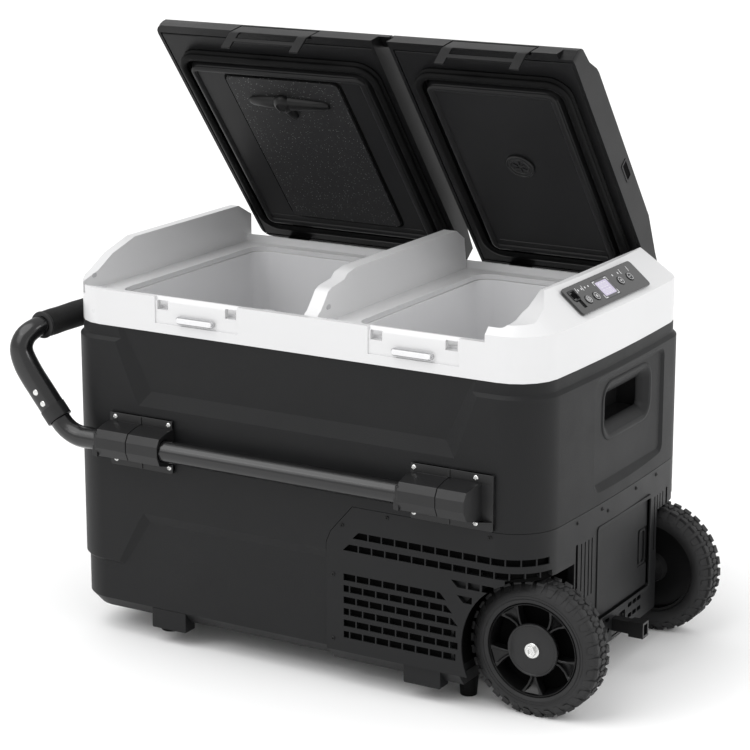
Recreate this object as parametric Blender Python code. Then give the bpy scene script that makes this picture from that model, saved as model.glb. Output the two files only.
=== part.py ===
"""Compressor cooler fridge with two lids, a pull-out handle and two wheels.

Metres, +Z up. X runs along the cooler, with the pull handle at -X and the wheels at +X.
The front, with the lid latches, faces -Y, and the lids hinge along the back at +Y.
The origin is on the floor, in the middle of the footprint. The lids stand open at rest.
"""

import math

import bmesh
import bpy
from mathutils import Matrix, Vector

# Cabinet
HALF_LENGTH = 0.310
HALF_WIDTH = 0.1993
CORNER_RADIUS = 0.050
END_BOW = 0.007  # how far the middle of the wheel end bulges
STEP = 0.004  # depth of the moulded steps in the shell
GAP = 0.0004  # clearance between neighbouring pieces
SHELL_WALL = 0.009
BOTTOM_Z = 0.030
CHAMFER_Z = 0.0436
LOWER_STEP_Z = 0.090
UPPER_STEP_Z = 0.362
COLLAR_Z = 0.3793
BAY_X = 0.0497  # the machine bay starts here
BAY_TOP_Z = 0.2142

# Collar and lids, drawn with the lids closed
LEDGE_Z = 0.410
RIM_Z = 0.4215
LEFT_WALL_Z = 0.4585
END_TOP_Z = 0.4635
END_SLOPE_Z = 0.430
END_SLOPE_INSET = 0.044
BASIN_LEFT, BASIN_RIGHT, BASIN_HALF_WIDTH = -0.294, 0.266, 0.187
END_RISE_X = 0.245  # the collar's front rim rises to the wheel end from here
MOUTH_FRONT, MOUTH_BACK = -0.150, 0.150
LEFT_MOUTH = (-0.266, -0.005)
RIGHT_MOUTH = (0.058, 0.240)
LEFT_FLOOR_Z, RIGHT_FLOOR_Z = 0.072, 0.240
RIDGE = (0.0115, 0.0290)  # the wall between the compartments, which stands up between the lids
RIDGE_Z = 0.4605
HINGE_Y, HINGE_Z = 0.1823, 0.3989
RABBET_Y, RABBET_Z = 0.1705, 0.3905  # behind this the collar is stepped down, which leaves room for the hinges
BACK_RIM_Z = 0.4190
KNUCKLE_RADIUS, HINGE_ROD_RADIUS = 0.0065, 0.0025
LID_OPEN = math.radians(51.5)
LEFT_LID = (-0.290, 0.0100)
RIGHT_LID = (0.0305, 0.262)
LID_SPLIT_X, LID_SPLIT = 0.0250, 0.0026  # where the lids' front lips meet, and the gap between them
LID_FRONT, LID_BACK = -0.194, 0.186
LID_UNDER_Z = 0.4230
LID_WALL = 0.004
LID_FRONT_LEAN = 0.55  # how far the lid's front face leans back for each metre that it rises
PLUG_Z = 0.4115
LATCH_CENTRES = {"left": -0.1245, "right": 0.158}
LATCH_HALF_WIDTH, LATCH_LEG_WIDTH = 0.0525, 0.012
LATCH_PIN_Y, LATCH_PIN_Z = -0.1840, 0.4385
TRAY = (-0.209, -0.053, -0.130, 0.1185)
TRAY_KNOB = (-0.139, -0.093)
VENT_PLUG = (0.151, -0.0165)

# Control panel: each button's place on the sloping face, as distance down it and along it
BUTTONS = {
    "button_power": (0.005, -0.055), "button_set": (0.005, -0.035),
    "button_plus": (0.000, 0.036), "button_minus": (0.000, 0.060),
}
BUTTON_RADIUS, BUTTON_TRAVEL = 0.0055, 0.001

# Wheels
AXLE_X, WHEEL_RADIUS = 0.2959, 0.0777
AXLE_Z = WHEEL_RADIUS
WHEEL_OUT, WHEEL_IN = 0.1761, 0.1340
AXLE_RADIUS = 0.006
RIM_RADIUS = 0.0530
WELL_RADIUS, ARCH_REACH, ARCH_HEIGHT = 0.0860, 0.0735, 0.0815
WELL_WALL_Y = 0.108

# Pull handle
RAIL_Y, RAIL_Z, RAIL_RADIUS = 0.2198, 0.2476, 0.0128
RAIL_RIGHT = 0.234
RAIL_BEND_X, RAIL_BEND_RADIUS, RAIL_BEND = -0.2690, 0.0423, math.radians(50.5)
BOW_RADIUS, GRIP_RADIUS = 0.0128, 0.0160
BOW_LEFT = -(AXLE_X + WHEEL_RADIUS) + BOW_RADIUS - 0.0007
GRIP_HALF_LENGTH = 0.197
GRIP_X, GRIP_Z = -0.3450, 0.3675


def clear_scene():
    for item in list(bpy.data.objects):
        bpy.data.objects.remove(item)


def material(name, colour, roughness, metallic=0.0):
    made = bpy.data.materials.get(name)
    if made:
        return made
    made = bpy.data.materials.new(name)
    made.use_nodes = True
    shader = made.node_tree.nodes["Principled BSDF"]
    shader.inputs["Base Color"].default_value = (*colour, 1.0)
    shader.inputs["Roughness"].default_value = roughness
    shader.inputs["Metallic"].default_value = metallic
    return made


CHARCOAL = ("charcoal_plastic", (0.035, 0.036, 0.038), 0.5)
WHITE = ("white_plastic", (0.82, 0.82, 0.82), 0.35)
LID_BLACK = ("lid_plastic", (0.022, 0.022, 0.023), 0.45)
BLACK = ("black_plastic", (0.012, 0.012, 0.012), 0.45)
RUBBER = ("rubber", (0.02, 0.02, 0.02), 0.8)
FOAM = ("grip_foam", (0.014, 0.014, 0.014), 0.9)
INSULATION = ("insulation_foam", (0.75, 0.68, 0.45), 0.9)
PAINTED_STEEL = ("painted_steel", (0.02, 0.02, 0.021), 0.3, 0.6)
BRIGHT_STEEL = ("bright_steel", (0.7, 0.7, 0.7), 0.25, 1.0)
COPPER = ("copper", (0.72, 0.38, 0.24), 0.3, 1.0)
BOARD_GREEN = ("circuit_board", (0.02, 0.16, 0.07), 0.5)
GLASS = ("display_glass", (0.03, 0.03, 0.04), 0.08)


def add_object(name, shape, finish=None):
    """Turns a bmesh into an object of the scene, with its faces pointing out."""
    bmesh.ops.recalc_face_normals(shape, faces=shape.faces)
    mesh = bpy.data.meshes.new(name)
    shape.to_mesh(mesh)
    shape.free()
    item = bpy.data.objects.new(name, mesh)
    bpy.context.scene.collection.objects.link(item)
    if finish:
        mesh.materials.append(material(*finish))
    return item


def loft(name, rings, finish=None):
    """A closed solid through rings of equally many points."""
    shape = bmesh.new()
    loops = [[shape.verts.new(point) for point in ring] for ring in rings]
    for low, high in zip(loops, loops[1:]):
        for i in range(len(low)):
            j = (i + 1) % len(low)
            shape.faces.new((low[i], low[j], high[j], high[i]))
    shape.faces.new(loops[0][::-1])
    shape.faces.new(loops[-1])
    return add_object(name, shape, finish)


def block(name, low, high, finish=None):
    (x0, y0, z0), (x1, y1, z1) = low, high
    base = [(x0, y0), (x1, y0), (x1, y1), (x0, y1)]
    return loft(name, [[(x, y, z) for x, y in base] for z in (z0, z1)], finish)


def prism(name, outline, axis, start, end, finish=None):
    """Extrudes a 2-D outline along an axis. The outline's two numbers follow the other axes in order."""

    def point(a, b, c):
        return {"X": (c, a, b), "Y": (a, c, b), "Z": (a, b, c)}[axis]

    return loft(name, [[point(a, b, c) for a, b in outline] for c in (start, end)], finish)


def circle(radius, sides, centre=(0.0, 0.0), start=0.0):
    turns = [start + 2 * math.pi * i / sides for i in range(sides)]
    return [(centre[0] + radius * math.cos(t), centre[1] + radius * math.sin(t)) for t in turns]


def rod(name, axis, centre, radius, start, end, sides=24, finish=None):
    return prism(name, circle(radius, sides, centre), axis, start, end, finish)


def rounded(x0, x1, y0, y1, radius, steps=4):
    points = []
    corners = ((x0, y0, 180), (x1, y0, 270), (x1, y1, 0), (x0, y1, 90))
    for x, y, first in corners:
        cx = x + radius if x == x0 else x - radius
        cy = y + radius if y == y0 else y - radius
        for i in range(steps + 1):
            turn = math.radians(first + 90 * i / steps)
            points.append((cx + radius * math.cos(turn), cy + radius * math.sin(turn)))
    return points


def mouth_outline(mouth, grow, radius):
    """The outline of a compartment's mouth, grown outwards."""
    left, right = mouth
    return rounded(left - grow, right + grow, MOUTH_FRONT - grow, MOUTH_BACK + grow, radius)


def footprint(inset=0.0, z=0.0, corner_steps=5, end_steps=6):
    """The cabinet's outline at a height, drawn in by inset, with its bowed wheel end."""
    x, y, radius = HALF_LENGTH - inset, HALF_WIDTH - inset, CORNER_RADIUS - inset
    radius = max(radius, 0.006)
    points = rounded(-x, x, -y, y, radius, corner_steps)
    end = 2 * (corner_steps + 1)  # index of the first point after the front wheel-end corner
    for i in range(1, end_steps):
        points.insert(end + i - 1, (x, -(y - radius) + 2 * (y - radius) * i / end_steps))
    bowed = []
    for px, py in points:
        share = min(max((px - (x - radius)) / radius, 0.0), 1.0)
        bowed.append((px + share * END_BOW * (1 - (py / y) ** 2), py, z))
    return bowed


def turned(name, profile, centre, side, sides=32, finish=None):
    """Turns a closed profile of (radius, distance) pairs round an axis along Y, facing -Y or +Y."""
    rings = []
    for i in range(sides):
        turn = 2 * math.pi * i / sides
        rings.append([
            (centre[0] + r * math.cos(turn), side * d, centre[1] + r * math.sin(turn)) for r, d in profile
        ])
    shape = bmesh.new()
    loops = [[shape.verts.new(point) for point in ring] for ring in rings]
    for i in range(sides):
        first, second = loops[i], loops[(i + 1) % sides]
        for a in range(len(profile)):
            b = (a + 1) % len(profile)
            shape.faces.new((first[a], first[b], second[b], second[a]))
    return add_object(name, shape, finish)


def combine(item, tools, operation):
    """Applies Booleans to an object for good, and removes the tools that shaped it."""
    for tool in tools:
        step = item.modifiers.new(operation.lower(), "BOOLEAN")
        step.operation = operation
        step.solver = "EXACT"
        step.object = tool
    bpy.context.view_layer.update()
    graph = bpy.context.evaluated_depsgraph_get()
    mesh = bpy.data.meshes.new_from_object(item.evaluated_get(graph))
    item.modifiers.clear()
    item.data = mesh
    for tool in tools:
        bpy.data.objects.remove(tool)
    return item


def cut(item, *tools):
    return combine(item, tools, "DIFFERENCE")


def join(item, *tools):
    return combine(item, tools, "UNION")


def keep(item, *tools):
    return combine(item, tools, "INTERSECT")


def smooth(item, degrees=35):
    item.data.shade_smooth()
    item.data.set_sharp_from_angle(angle=math.radians(degrees))
    return item


def through(points, spacing):
    """Points along a smooth curve that passes through the given ones."""
    line = [Vector(p) for p in points]
    line = [2 * line[0] - line[1], *line, 2 * line[-1] - line[-2]]
    found = []
    for a, b, c, d in zip(line, line[1:], line[2:], line[3:]):
        steps = max(1, round((c - b).length / spacing))
        for i in range(steps):
            t = i / steps
            found.append(
                0.5 * (2 * b + (c - a) * t + (2 * a - 5 * b + 4 * c - d) * t**2 + (3 * b - a - 3 * c + d) * t**3)
            )
    return [*found, line[-2]]


def tube(name, points, radius, finish, resolution=3):
    curve = bpy.data.curves.new(name, "CURVE")
    curve.dimensions = "3D"
    curve.bevel_depth = radius
    curve.bevel_resolution = resolution
    curve.use_fill_caps = True
    spline = curve.splines.new("POLY")
    spline.points.add(len(points) - 1)
    for place, point in zip(spline.points, points):
        place.co = (*point, 1.0)
    item = bpy.data.objects.new(name, curve)
    bpy.context.scene.collection.objects.link(item)
    curve.materials.append(material(*finish))
    return item


def hang(pieces, name, place, parent=None):
    """Parents pieces to an empty that stands on their joint's axis."""
    pivot = bpy.data.objects.new(name, None)
    bpy.context.scene.collection.objects.link(pivot)
    pivot.location = place
    bpy.context.view_layer.update()
    if parent:
        pivot.parent = parent
        pivot.matrix_parent_inverse = parent.matrix_world.inverted()
    bpy.context.view_layer.update()
    for piece in pieces:
        piece.parent = pivot
        piece.matrix_parent_inverse = pivot.matrix_world.inverted()
    return pivot


# ---------------------------------------------------------------- cabinet


def bay_outline(grow):
    """The machine bay seen from the front, with its cut upper corner, as X and Z."""
    x, top = BAY_X - grow, BAY_TOP_Z + grow
    return [(x, -0.1), (x, 0.168 + grow), (x + 0.006, 0.182 + grow), (x + 0.034, top), (0.4, top), (0.4, -0.1)]


def recess_cutter(side):
    """The wide shallow panel in the upper half of a long face, with sloping edges."""
    y_floor, y_face = side * (HALF_WIDTH - STEP), side * (HALF_WIDTH + 0.001)
    floor = [(-0.190, 0.307), (0.198, 0.307), (0.236, 0.390), (-0.234, 0.390)]
    face = [(-0.204, 0.288), (0.212, 0.288), (0.250, 0.390), (-0.248, 0.390)]
    rings = [[(x, y_floor, z) for x, z in floor], [(x, y_face, z) for x, z in face]]
    return loft("recess_cutter", rings)


def low_recess_cutter(side):
    """The lower shallow panel of a long face, beside the machine bay."""
    y_floor, y_face = side * (HALF_WIDTH - STEP), side * (HALF_WIDTH + 0.001)
    outline = [(-0.238, 0.085), (-0.198, 0.156), (0.10, 0.156), (0.10, 0.085)]
    outer = [(-0.242, 0.085), (-0.200, 0.160), (0.10, 0.160), (0.10, 0.085)]
    rings = [[(x, y_floor, z) for x, z in outline], [(x, y_face, z) for x, z in outer]]
    return loft("low_recess_cutter", rings)


def carry_pocket(name, grow, outer_x, finish=None):
    """The hand pocket in the wheel end. grow makes the space that it takes in its neighbours."""
    low = (0.2720 - grow, -0.0285 - grow, 0.292 - grow)
    return block(name, low, (outer_x, 0.0785 + grow, 0.337 + grow), finish)


def make_shell():
    rings = [
        footprint(0.016, BOTTOM_Z),
        footprint(STEP, CHAMFER_Z),
        footprint(STEP, LOWER_STEP_Z),
        footprint(0.0, LOWER_STEP_Z + STEP),
        footprint(0.0, UPPER_STEP_Z),
        footprint(STEP, UPPER_STEP_Z + STEP),
        footprint(STEP, COLLAR_Z - GAP),
    ]
    shell = loft("main_shell", rings, CHARCOAL)
    inside = loft("inside", [
        footprint(0.020, BOTTOM_Z + 0.005), footprint(SHELL_WALL, 0.055), footprint(SHELL_WALL, 0.5),
    ])
    bay = prism("bay", bay_outline(0.0), "Y", -0.3, 0.3)
    mouth = block("mouth", (0.25, -0.0235, 0.2975), (0.4, 0.0735, 0.3315))
    end_panel = block("end_panel", (HALF_LENGTH + 0.0015, -0.060, 0.236), (0.4, 0.116, 0.352))
    return smooth(cut(
        shell, inside, bay, mouth, end_panel,
        recess_cutter(-1), recess_cutter(1), low_recess_cutter(-1), low_recess_cutter(1),
    ))


def make_base():
    base = loft("base_tray", [footprint(0.016, 0.0255), footprint(STEP, 0.0405)], CHARCOAL)
    bay = prism("bay", [(BAY_X + GAP, -0.1), (BAY_X + GAP, 0.1), (0.4, 0.1), (0.4, -0.1)], "Y", -0.3, 0.3)
    keep(base, bay)
    wells = []
    for side in (-1, 1):
        y0, y1 = sorted((side * WELL_WALL_Y, side * 0.3))
        wells.append(block("well", (AXLE_X - WELL_RADIUS + 0.008, y0, 0.0), (0.4, y1, 0.1)))
    return cut(base, *wells)


def well_block(side, grow=0.0):
    y0, y1 = sorted((side * (WELL_WALL_Y - grow), side * 0.25))
    return block("well_block", (AXLE_X - WELL_RADIUS - 0.003, y0, 0.0), (0.4, y1, AXLE_Z + WELL_RADIUS + 0.003))


def vent_rows():
    """Each grille row as (left end, right end, middle height) on a long face."""
    rows = [(0.088, 0.258, 0.181), (0.073, 0.258, 0.1655)]
    for i, right in enumerate((0.199, 0.207, 0.214, 0.218, 0.218, 0.218)):
        rows.append((0.0725, right, 0.1303 - 0.0136 * i))
    return rows


def make_vent_cover():
    cover = loft("vent_cover", [footprint(0.0, 0.0415), footprint(0.0, BAY_TOP_Z)], CHARCOAL)
    keep(cover, prism("bay", bay_outline(-GAP), "Y", -0.3, 0.3))
    inside = loft("inside", [footprint(0.0035, 0.0), footprint(0.0035, BAY_TOP_Z - 0.0035)])
    cut(inside, well_block(-1), well_block(1))
    tools = [inside]
    for side in (-1, 1):
        y_in, y_out = side * (WELL_WALL_Y + 0.003), side * (HALF_WIDTH - 0.0035)
        hole = rod("well", "Y", (AXLE_X, AXLE_Z), WELL_RADIUS, y_in, y_out, 32)
        oval = [(AXLE_X + ARCH_REACH * a, AXLE_Z + ARCH_HEIGHT * b) for a, b in circle(1.0, 32)]
        arch = prism("arch", oval, "Y", y_in, side * 0.3)
        y0, y1 = sorted((y_in, side * 0.3))
        end = block("end", (AXLE_X, y0, 0.0), (0.4, y1, AXLE_Z + ARCH_HEIGHT - 0.0050))
        foot = block("foot", (AXLE_X - ARCH_REACH + 0.010, y0, 0.0), (0.4, y1, AXLE_Z))
        axle = rod("axle_hole", "Y", (AXLE_X, AXLE_Z), AXLE_RADIUS + GAP, side * 0.09, side * 0.13, 16)
        tools += [hole, arch, end, foot, axle]
        for left, right, z in vent_rows():
            y0, y1 = sorted((side * (HALF_WIDTH - 0.006), side * 0.21))
            tools.append(block("slot", (left, y0, z - 0.0036), (right, y1, z + 0.0036)))
    tools.append(block("door_opening", (0.29, -0.0525, 0.0765), (0.4, 0.0860, 0.1835)))
    tools.append(block("bumper_notch", (0.29, -0.0130, 0.0), (0.4, 0.0230, 0.0670)))
    for y in (-0.1055, 0.1400):
        tools.append(block("slot", (0.29, y - 0.0025, 0.121), (0.4, y + 0.0025, 0.182)))
    inlet = rod("inlet_hole", "Y", (0.130, 0.185), 0.011, 0.18, 0.25, 24)
    return cut(cover, *tools, inlet)


def make_collar():
    collar = loft("top_collar", [footprint(STEP, COLLAR_Z), footprint(STEP, END_TOP_Z)], WHITE)
    slope = loft("slope", [
        footprint(STEP, 0.3), footprint(STEP, END_SLOPE_Z), footprint(END_SLOPE_INSET, END_TOP_Z + 0.0005),
    ])
    # The wheel end's slope is kept only past the basin.
    crown = cut(block("crown", (0.2, -0.3, END_SLOPE_Z), (0.4, 0.3, 0.6)), slope)
    back_drop = [(0.150, LEFT_WALL_Z), (0.184, 0.441), (0.186, RIM_Z), (0.3, RIM_Z), (0.3, 0.6), (-0.3, 0.6)]
    left_top = [
        (-0.3, RIM_Z), (-0.186, RIM_Z), (-0.150, 0.431), (-0.121, 0.446), (-0.075, LEFT_WALL_Z), *back_drop,
    ]
    end_back = [(0.150, END_TOP_Z + 0.001), *back_drop[1:]]
    end_top = [
        (-0.3, END_SLOPE_Z), (-0.196, END_SLOPE_Z), (-0.187, 0.4395), (-0.165, 0.4415), (-0.150, 0.447),
        (-0.135, 0.4505), (-0.105, END_TOP_Z + 0.001), *end_back,
    ]
    left_cut = prism("left_cut", left_top, "X", -0.4, END_RISE_X)
    end_cut = prism("end_cut", end_top, "X", END_RISE_X - 0.0001, 0.4)
    basin_outline = rounded(BASIN_LEFT, BASIN_RIGHT, -BASIN_HALF_WIDTH, BASIN_HALF_WIDTH, 0.008)
    basin = prism("basin", basin_outline, "Z", LEDGE_Z, 0.6)
    under = loft("under", [footprint(SHELL_WALL, 0.3), footprint(SHELL_WALL, LEDGE_Z - 0.006)])
    cut(under, block("hinge_rail", (-0.4, RABBET_Y - 0.006, RABBET_Z - 0.006), (0.4, 0.3, 0.5)))
    rabbet = block("rabbet", (BASIN_LEFT, RABBET_Y, RABBET_Z), (BASIN_RIGHT, 0.3, 0.6))
    tools = [crown, left_cut, end_cut, basin, under, rabbet]
    bed_side = [
        (-0.21, 0.3905), (-0.1938, 0.3905), (-0.1938, 0.4155), (-0.1900, 0.4218), (-0.1900, 0.43), (-0.21, 0.43),
    ]
    for centre in LATCH_CENTRES.values():
        reach = LATCH_HALF_WIDTH + 0.004
        tools.append(prism("latch_bed", bed_side, "X", centre - reach, centre + reach))
        for side in (-1, 1):
            x = centre + side * (LATCH_HALF_WIDTH - LATCH_LEG_WIDTH / 2)
            tools.append(block("window", (x - 0.0075, -0.21, 0.4066), (x + 0.0075, -0.185, 0.4175)))
    for mouth in (LEFT_MOUTH, RIGHT_MOUTH):
        tools.append(prism("mouth", mouth_outline(mouth, 0.0, 0.02), "Z", 0.35, 0.5))
    cut(collar, *tools)
    ridge_side = [
        (-0.1885, LEDGE_Z - 0.001), (-0.180, RIM_Z), (-0.1745, 0.4247), (-0.164, 0.4364), (-0.158, 0.4440),
        (-0.150, 0.4475), (-0.124, 0.4510), (-0.116, 0.4570), (-0.0965, RIDGE_Z), (0.140, RIDGE_Z), (0.160, 0.448),
        (0.1660, LEDGE_Z - 0.001),
    ]
    back_low = (BASIN_LEFT - 0.002, RABBET_Y - 0.003, LEDGE_Z - 0.002)
    back_rim = block("back_rim", back_low, (BASIN_RIGHT + 0.002, RABBET_Y, BACK_RIM_Z))
    adds = [prism("ridge", ridge_side, "X", *RIDGE), back_rim]
    for centre in LATCH_CENTRES.values():
        adds.append(block("catch", (centre - 0.024, -0.1985, 0.3945), (centre + 0.024, -0.190, 0.4010)))
    for x in hinge_stations():
        for offset in (-0.0215, 0.0215):
            x0, x1 = x + offset - 0.006, x + offset + 0.006
            adds.append(rod("knuckle", "X", (HINGE_Y, HINGE_Z), KNUCKLE_RADIUS, x0, x1, 16))
            adds.append(block("web", (x0, HINGE_Y - 0.005, RABBET_Z - 0.003), (x1, HINGE_Y + 0.005, HINGE_Z)))
    join(collar, *adds)
    bore = rod("bore", "X", (HINGE_Y, HINGE_Z), HINGE_ROD_RADIUS + GAP, -0.35, 0.35, 16)
    cut(collar, bore)
    return smooth(collar)


def hinge_stations(lids=(LEFT_LID, RIGHT_LID)):
    return [x for left, right in lids for x in (left + 0.055, right - 0.055)]


def make_liner(name, mouth, floor_z):
    outer = [
        [(x, y, z) for x, y in mouth_outline(mouth, grow, 0.02 + grow)]
        for z, grow in ((floor_z, -0.004), (LEDGE_Z - 0.006 - GAP, 0.002))
    ]
    inner = [
        [(x, y, z) for x, y in mouth_outline(mouth, grow, 0.02 + grow)]
        for z, grow in ((floor_z + 0.002, -0.006), (0.5, 0.0006))
    ]
    return smooth(cut(loft(name, outer, WHITE), loft("inner", inner)))


def make_insulation():
    foam = loft("insulation", [
        footprint(0.022, BOTTOM_Z + 0.006), footprint(SHELL_WALL + GAP, 0.0555),
        footprint(SHELL_WALL + GAP, LEDGE_Z - 0.0065),
    ], INSULATION)
    tools = [prism("bay", bay_outline(0.012), "Y", -0.3, 0.3), carry_pocket("pocket", GAP, 0.4)]
    tools.append(block("hinge_rail", (-0.4, RABBET_Y - 0.0064, RABBET_Z - 0.0064), (0.4, 0.3, 0.5)))
    for mouth, floor_z in ((LEFT_MOUTH, LEFT_FLOOR_Z), (RIGHT_MOUTH, RIGHT_FLOOR_Z)):
        tools.append(prism("space", mouth_outline(mouth, 0.0028, 0.02), "Z", floor_z - GAP, 0.6))
    return cut(foam, *tools)


def make_machinery():
    z0 = 0.0405 + GAP
    body = rod("compressor", "Z", (0.145, 0.010), 0.052, z0 + 0.012, z0 + 0.112, 28, PAINTED_STEEL)
    foot = block("foot", (0.086, -0.045, z0), (0.204, 0.065, z0 + 0.0125))
    dome = loft("dome", [
        [(x, y, z) for x, y in circle(r, 28, (0.145, 0.010))] for r, z in ((0.0515, z0 + 0.111), (0.044, z0 + 0.126), (0.020, z0 + 0.133))
    ])
    smooth(join(body, foot, dome))
    coil = [
        (x, y, 0.062 + 0.022 * row)
        for row in range(6)
        for x, y in (((0.082, -0.176), (0.196, -0.176)) if row % 2 == 0 else ((0.196, -0.176), (0.082, -0.176)))
    ]
    tube("condenser", coil, 0.0035, COPPER, 2)
    frame = block("fan_frame", (0.086, -0.160, 0.055), (0.188, -0.135, 0.157), BLACK)
    bearing_room = block("bearing", (0.128, -0.139, 0.0), (0.146, -0.1355, 0.097))
    cut(frame, rod("bore", "Y", (0.137, 0.106), 0.047, -0.17, -0.1355, 28), bearing_room)
    rotor = rod("fan_rotor", "Y", (0.137, 0.106), 0.016, -0.157, -0.1375, 20, BLACK)
    blades = []
    for i in range(7):
        blade = block("blade", (0.012, -0.155, -0.001), (0.044, -0.141, 0.001))
        turn = Matrix.Translation((0.137, 0.0, 0.106)) @ Matrix.Rotation(2 * math.pi * i / 7, 4, "Y")
        there, back = Matrix.Translation((0, -0.148, 0)), Matrix.Translation((0, 0.148, 0))
        blade.data.transform(turn @ there @ Matrix.Rotation(0.5, 4, "X") @ back)
        blades.append(blade)
    join(rotor, *blades)
    hang([rotor], "fan_pivot", (0.137, -0.148, 0.106))
    block("control_board", (0.075, 0.150, 0.055), (0.190, 0.156, 0.150), BOARD_GREEN)
    block("battery_pack", (0.236, -0.046, 0.092), (0.300, 0.079, 0.178), BLACK)
    inlet = rod("power_inlet", "Y", (0.130, 0.185), 0.0105, 0.170, 0.2005, 24, BLACK)
    cut(inlet, rod("socket", "Y", (0.130, 0.185), 0.0065, 0.182, 0.21, 16))


def make_battery_door():
    door = block("battery_door", (0.3110, -0.0515, 0.0775), (0.3142, 0.0850, 0.1825), CHARCOAL)
    cut(door, block("finger_pull", (0.3125, 0.0600, 0.105), (0.32, 0.0860, 0.150)))
    hang([door], "battery_door_pivot", (0.3142, -0.0475, 0.130))


def slope_frame():
    """The matrix of the sloping wheel-end top: X down the slope, Y across, Z out of it."""
    low = Vector((HALF_LENGTH - STEP + END_BOW, 0.0, END_SLOPE_Z))
    high = Vector((HALF_LENGTH - END_SLOPE_INSET + END_BOW, 0.0, END_TOP_Z))
    down = (low - high).normalized()
    across = Vector((0.0, 1.0, 0.0))
    out = down.cross(across)
    rotation = Matrix((down, across, out)).transposed().to_4x4()
    return Matrix.Translation((low + high) / 2) @ rotation


def make_control_panel():
    place = slope_frame()
    face = 0.0030
    panel = prism("display_panel", rounded(-0.019, 0.019, -0.088, 0.088, 0.005), "Z", 0.0006, face, BLACK)
    window = block("window", (-0.0135, -0.022, face - 0.0012), (0.0135, 0.016, 0.01))
    usb = block("usb", (-0.012, -0.080, 0.0012), (0.012, -0.068, 0.01))
    cut(panel, window, usb)
    glass = block("display_glass", (-0.0130, -0.0215, face - 0.0012 + GAP), (0.0130, 0.0155, face), GLASS)
    bores = []
    for name, (x, y) in BUTTONS.items():
        bores.append(rod("bore", "Z", (x, y), BUTTON_RADIUS + GAP, -0.01, 0.01, 20))
        button = rod(name, "Z", (x, y), BUTTON_RADIUS, 0.0006 + BUTTON_TRAVEL + GAP, face + 2 * BUTTON_TRAVEL, 20, BLACK)
        button.data.transform(place)
        hang([button], name + "_pivot", place @ Vector((x, y, face)))
    cut(panel, *bores)
    for item in (panel, glass):
        item.data.transform(place)


# ---------------------------------------------------------------- lids


def lid_profile():
    """The lid seen from the end, as Y and Z, closed."""
    outline = [
        (0.0, 0.0), (LID_BACK - LID_FRONT, 0.0), (LID_BACK - LID_FRONT, 0.0190), (0.3535, 0.0235), (0.3015, 0.0370),
        (0.0655, 0.0385), (0.0575, 0.0370), (0.0385, 0.0275), (0.0155, 0.0240), (0.0121, 0.0220),
    ]
    return [(LID_FRONT + back, LID_UNDER_Z + up) for back, up in outline]


def lid_hollow():
    """The room inside the lid shell, as Y and Z."""
    back = LID_BACK - LID_FRONT - LID_WALL
    outline = [
        (0.0120, -0.01), (back, -0.01), (back, 0.0160), (0.3515, 0.0197), (0.3005, 0.0330),
        (0.0665, 0.0345), (0.0595, 0.0330), (0.0405, 0.0237), (0.0200, 0.0203), (0.0120, 0.0030),
    ]
    return [(LID_FRONT + back, LID_UNDER_Z + up) for back, up in outline]


def front_face(z):
    """How far forward the lid's leaning front face is at a height."""
    return LID_FRONT + (z - LID_UNDER_Z) * LID_FRONT_LEAN


def latch_side():
    """The latch's plate seen from the end: it follows the lid's front face, then hangs down over the collar."""
    top, bend, hang_z, bar_z = LID_UNDER_Z + 0.0170, LID_UNDER_Z + 0.0010, LID_UNDER_Z - 0.0065, 0.4030
    outer_y, inner_y, thickness = -0.1972, -0.1946, 0.0028
    return [
        (front_face(top), top), (front_face(bend), bend), (outer_y, hang_z), (outer_y, bar_z), (inner_y, bar_z),
        (inner_y, hang_z), (front_face(bend) + thickness, bend), (front_face(top) + thickness, top),
    ]


def make_latch(side, centre):
    left, right = centre - LATCH_HALF_WIDTH, centre + LATCH_HALF_WIDTH
    latch = prism(f"latch_{side}", latch_side(), "X", left, right, LID_BLACK)
    cut(latch, block("window", (centre - 0.040, -0.25, 0.4085), (centre + 0.040, -0.15, 0.4195)))
    legs = []
    for x0, x1 in ((left, left + LATCH_LEG_WIDTH), (right - LATCH_LEG_WIDTH, right)):
        legs.append(block("leg", (x0, -0.1972, 0.3931), (x1, -0.1946, 0.4060)))
    return join(latch, *legs)


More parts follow.
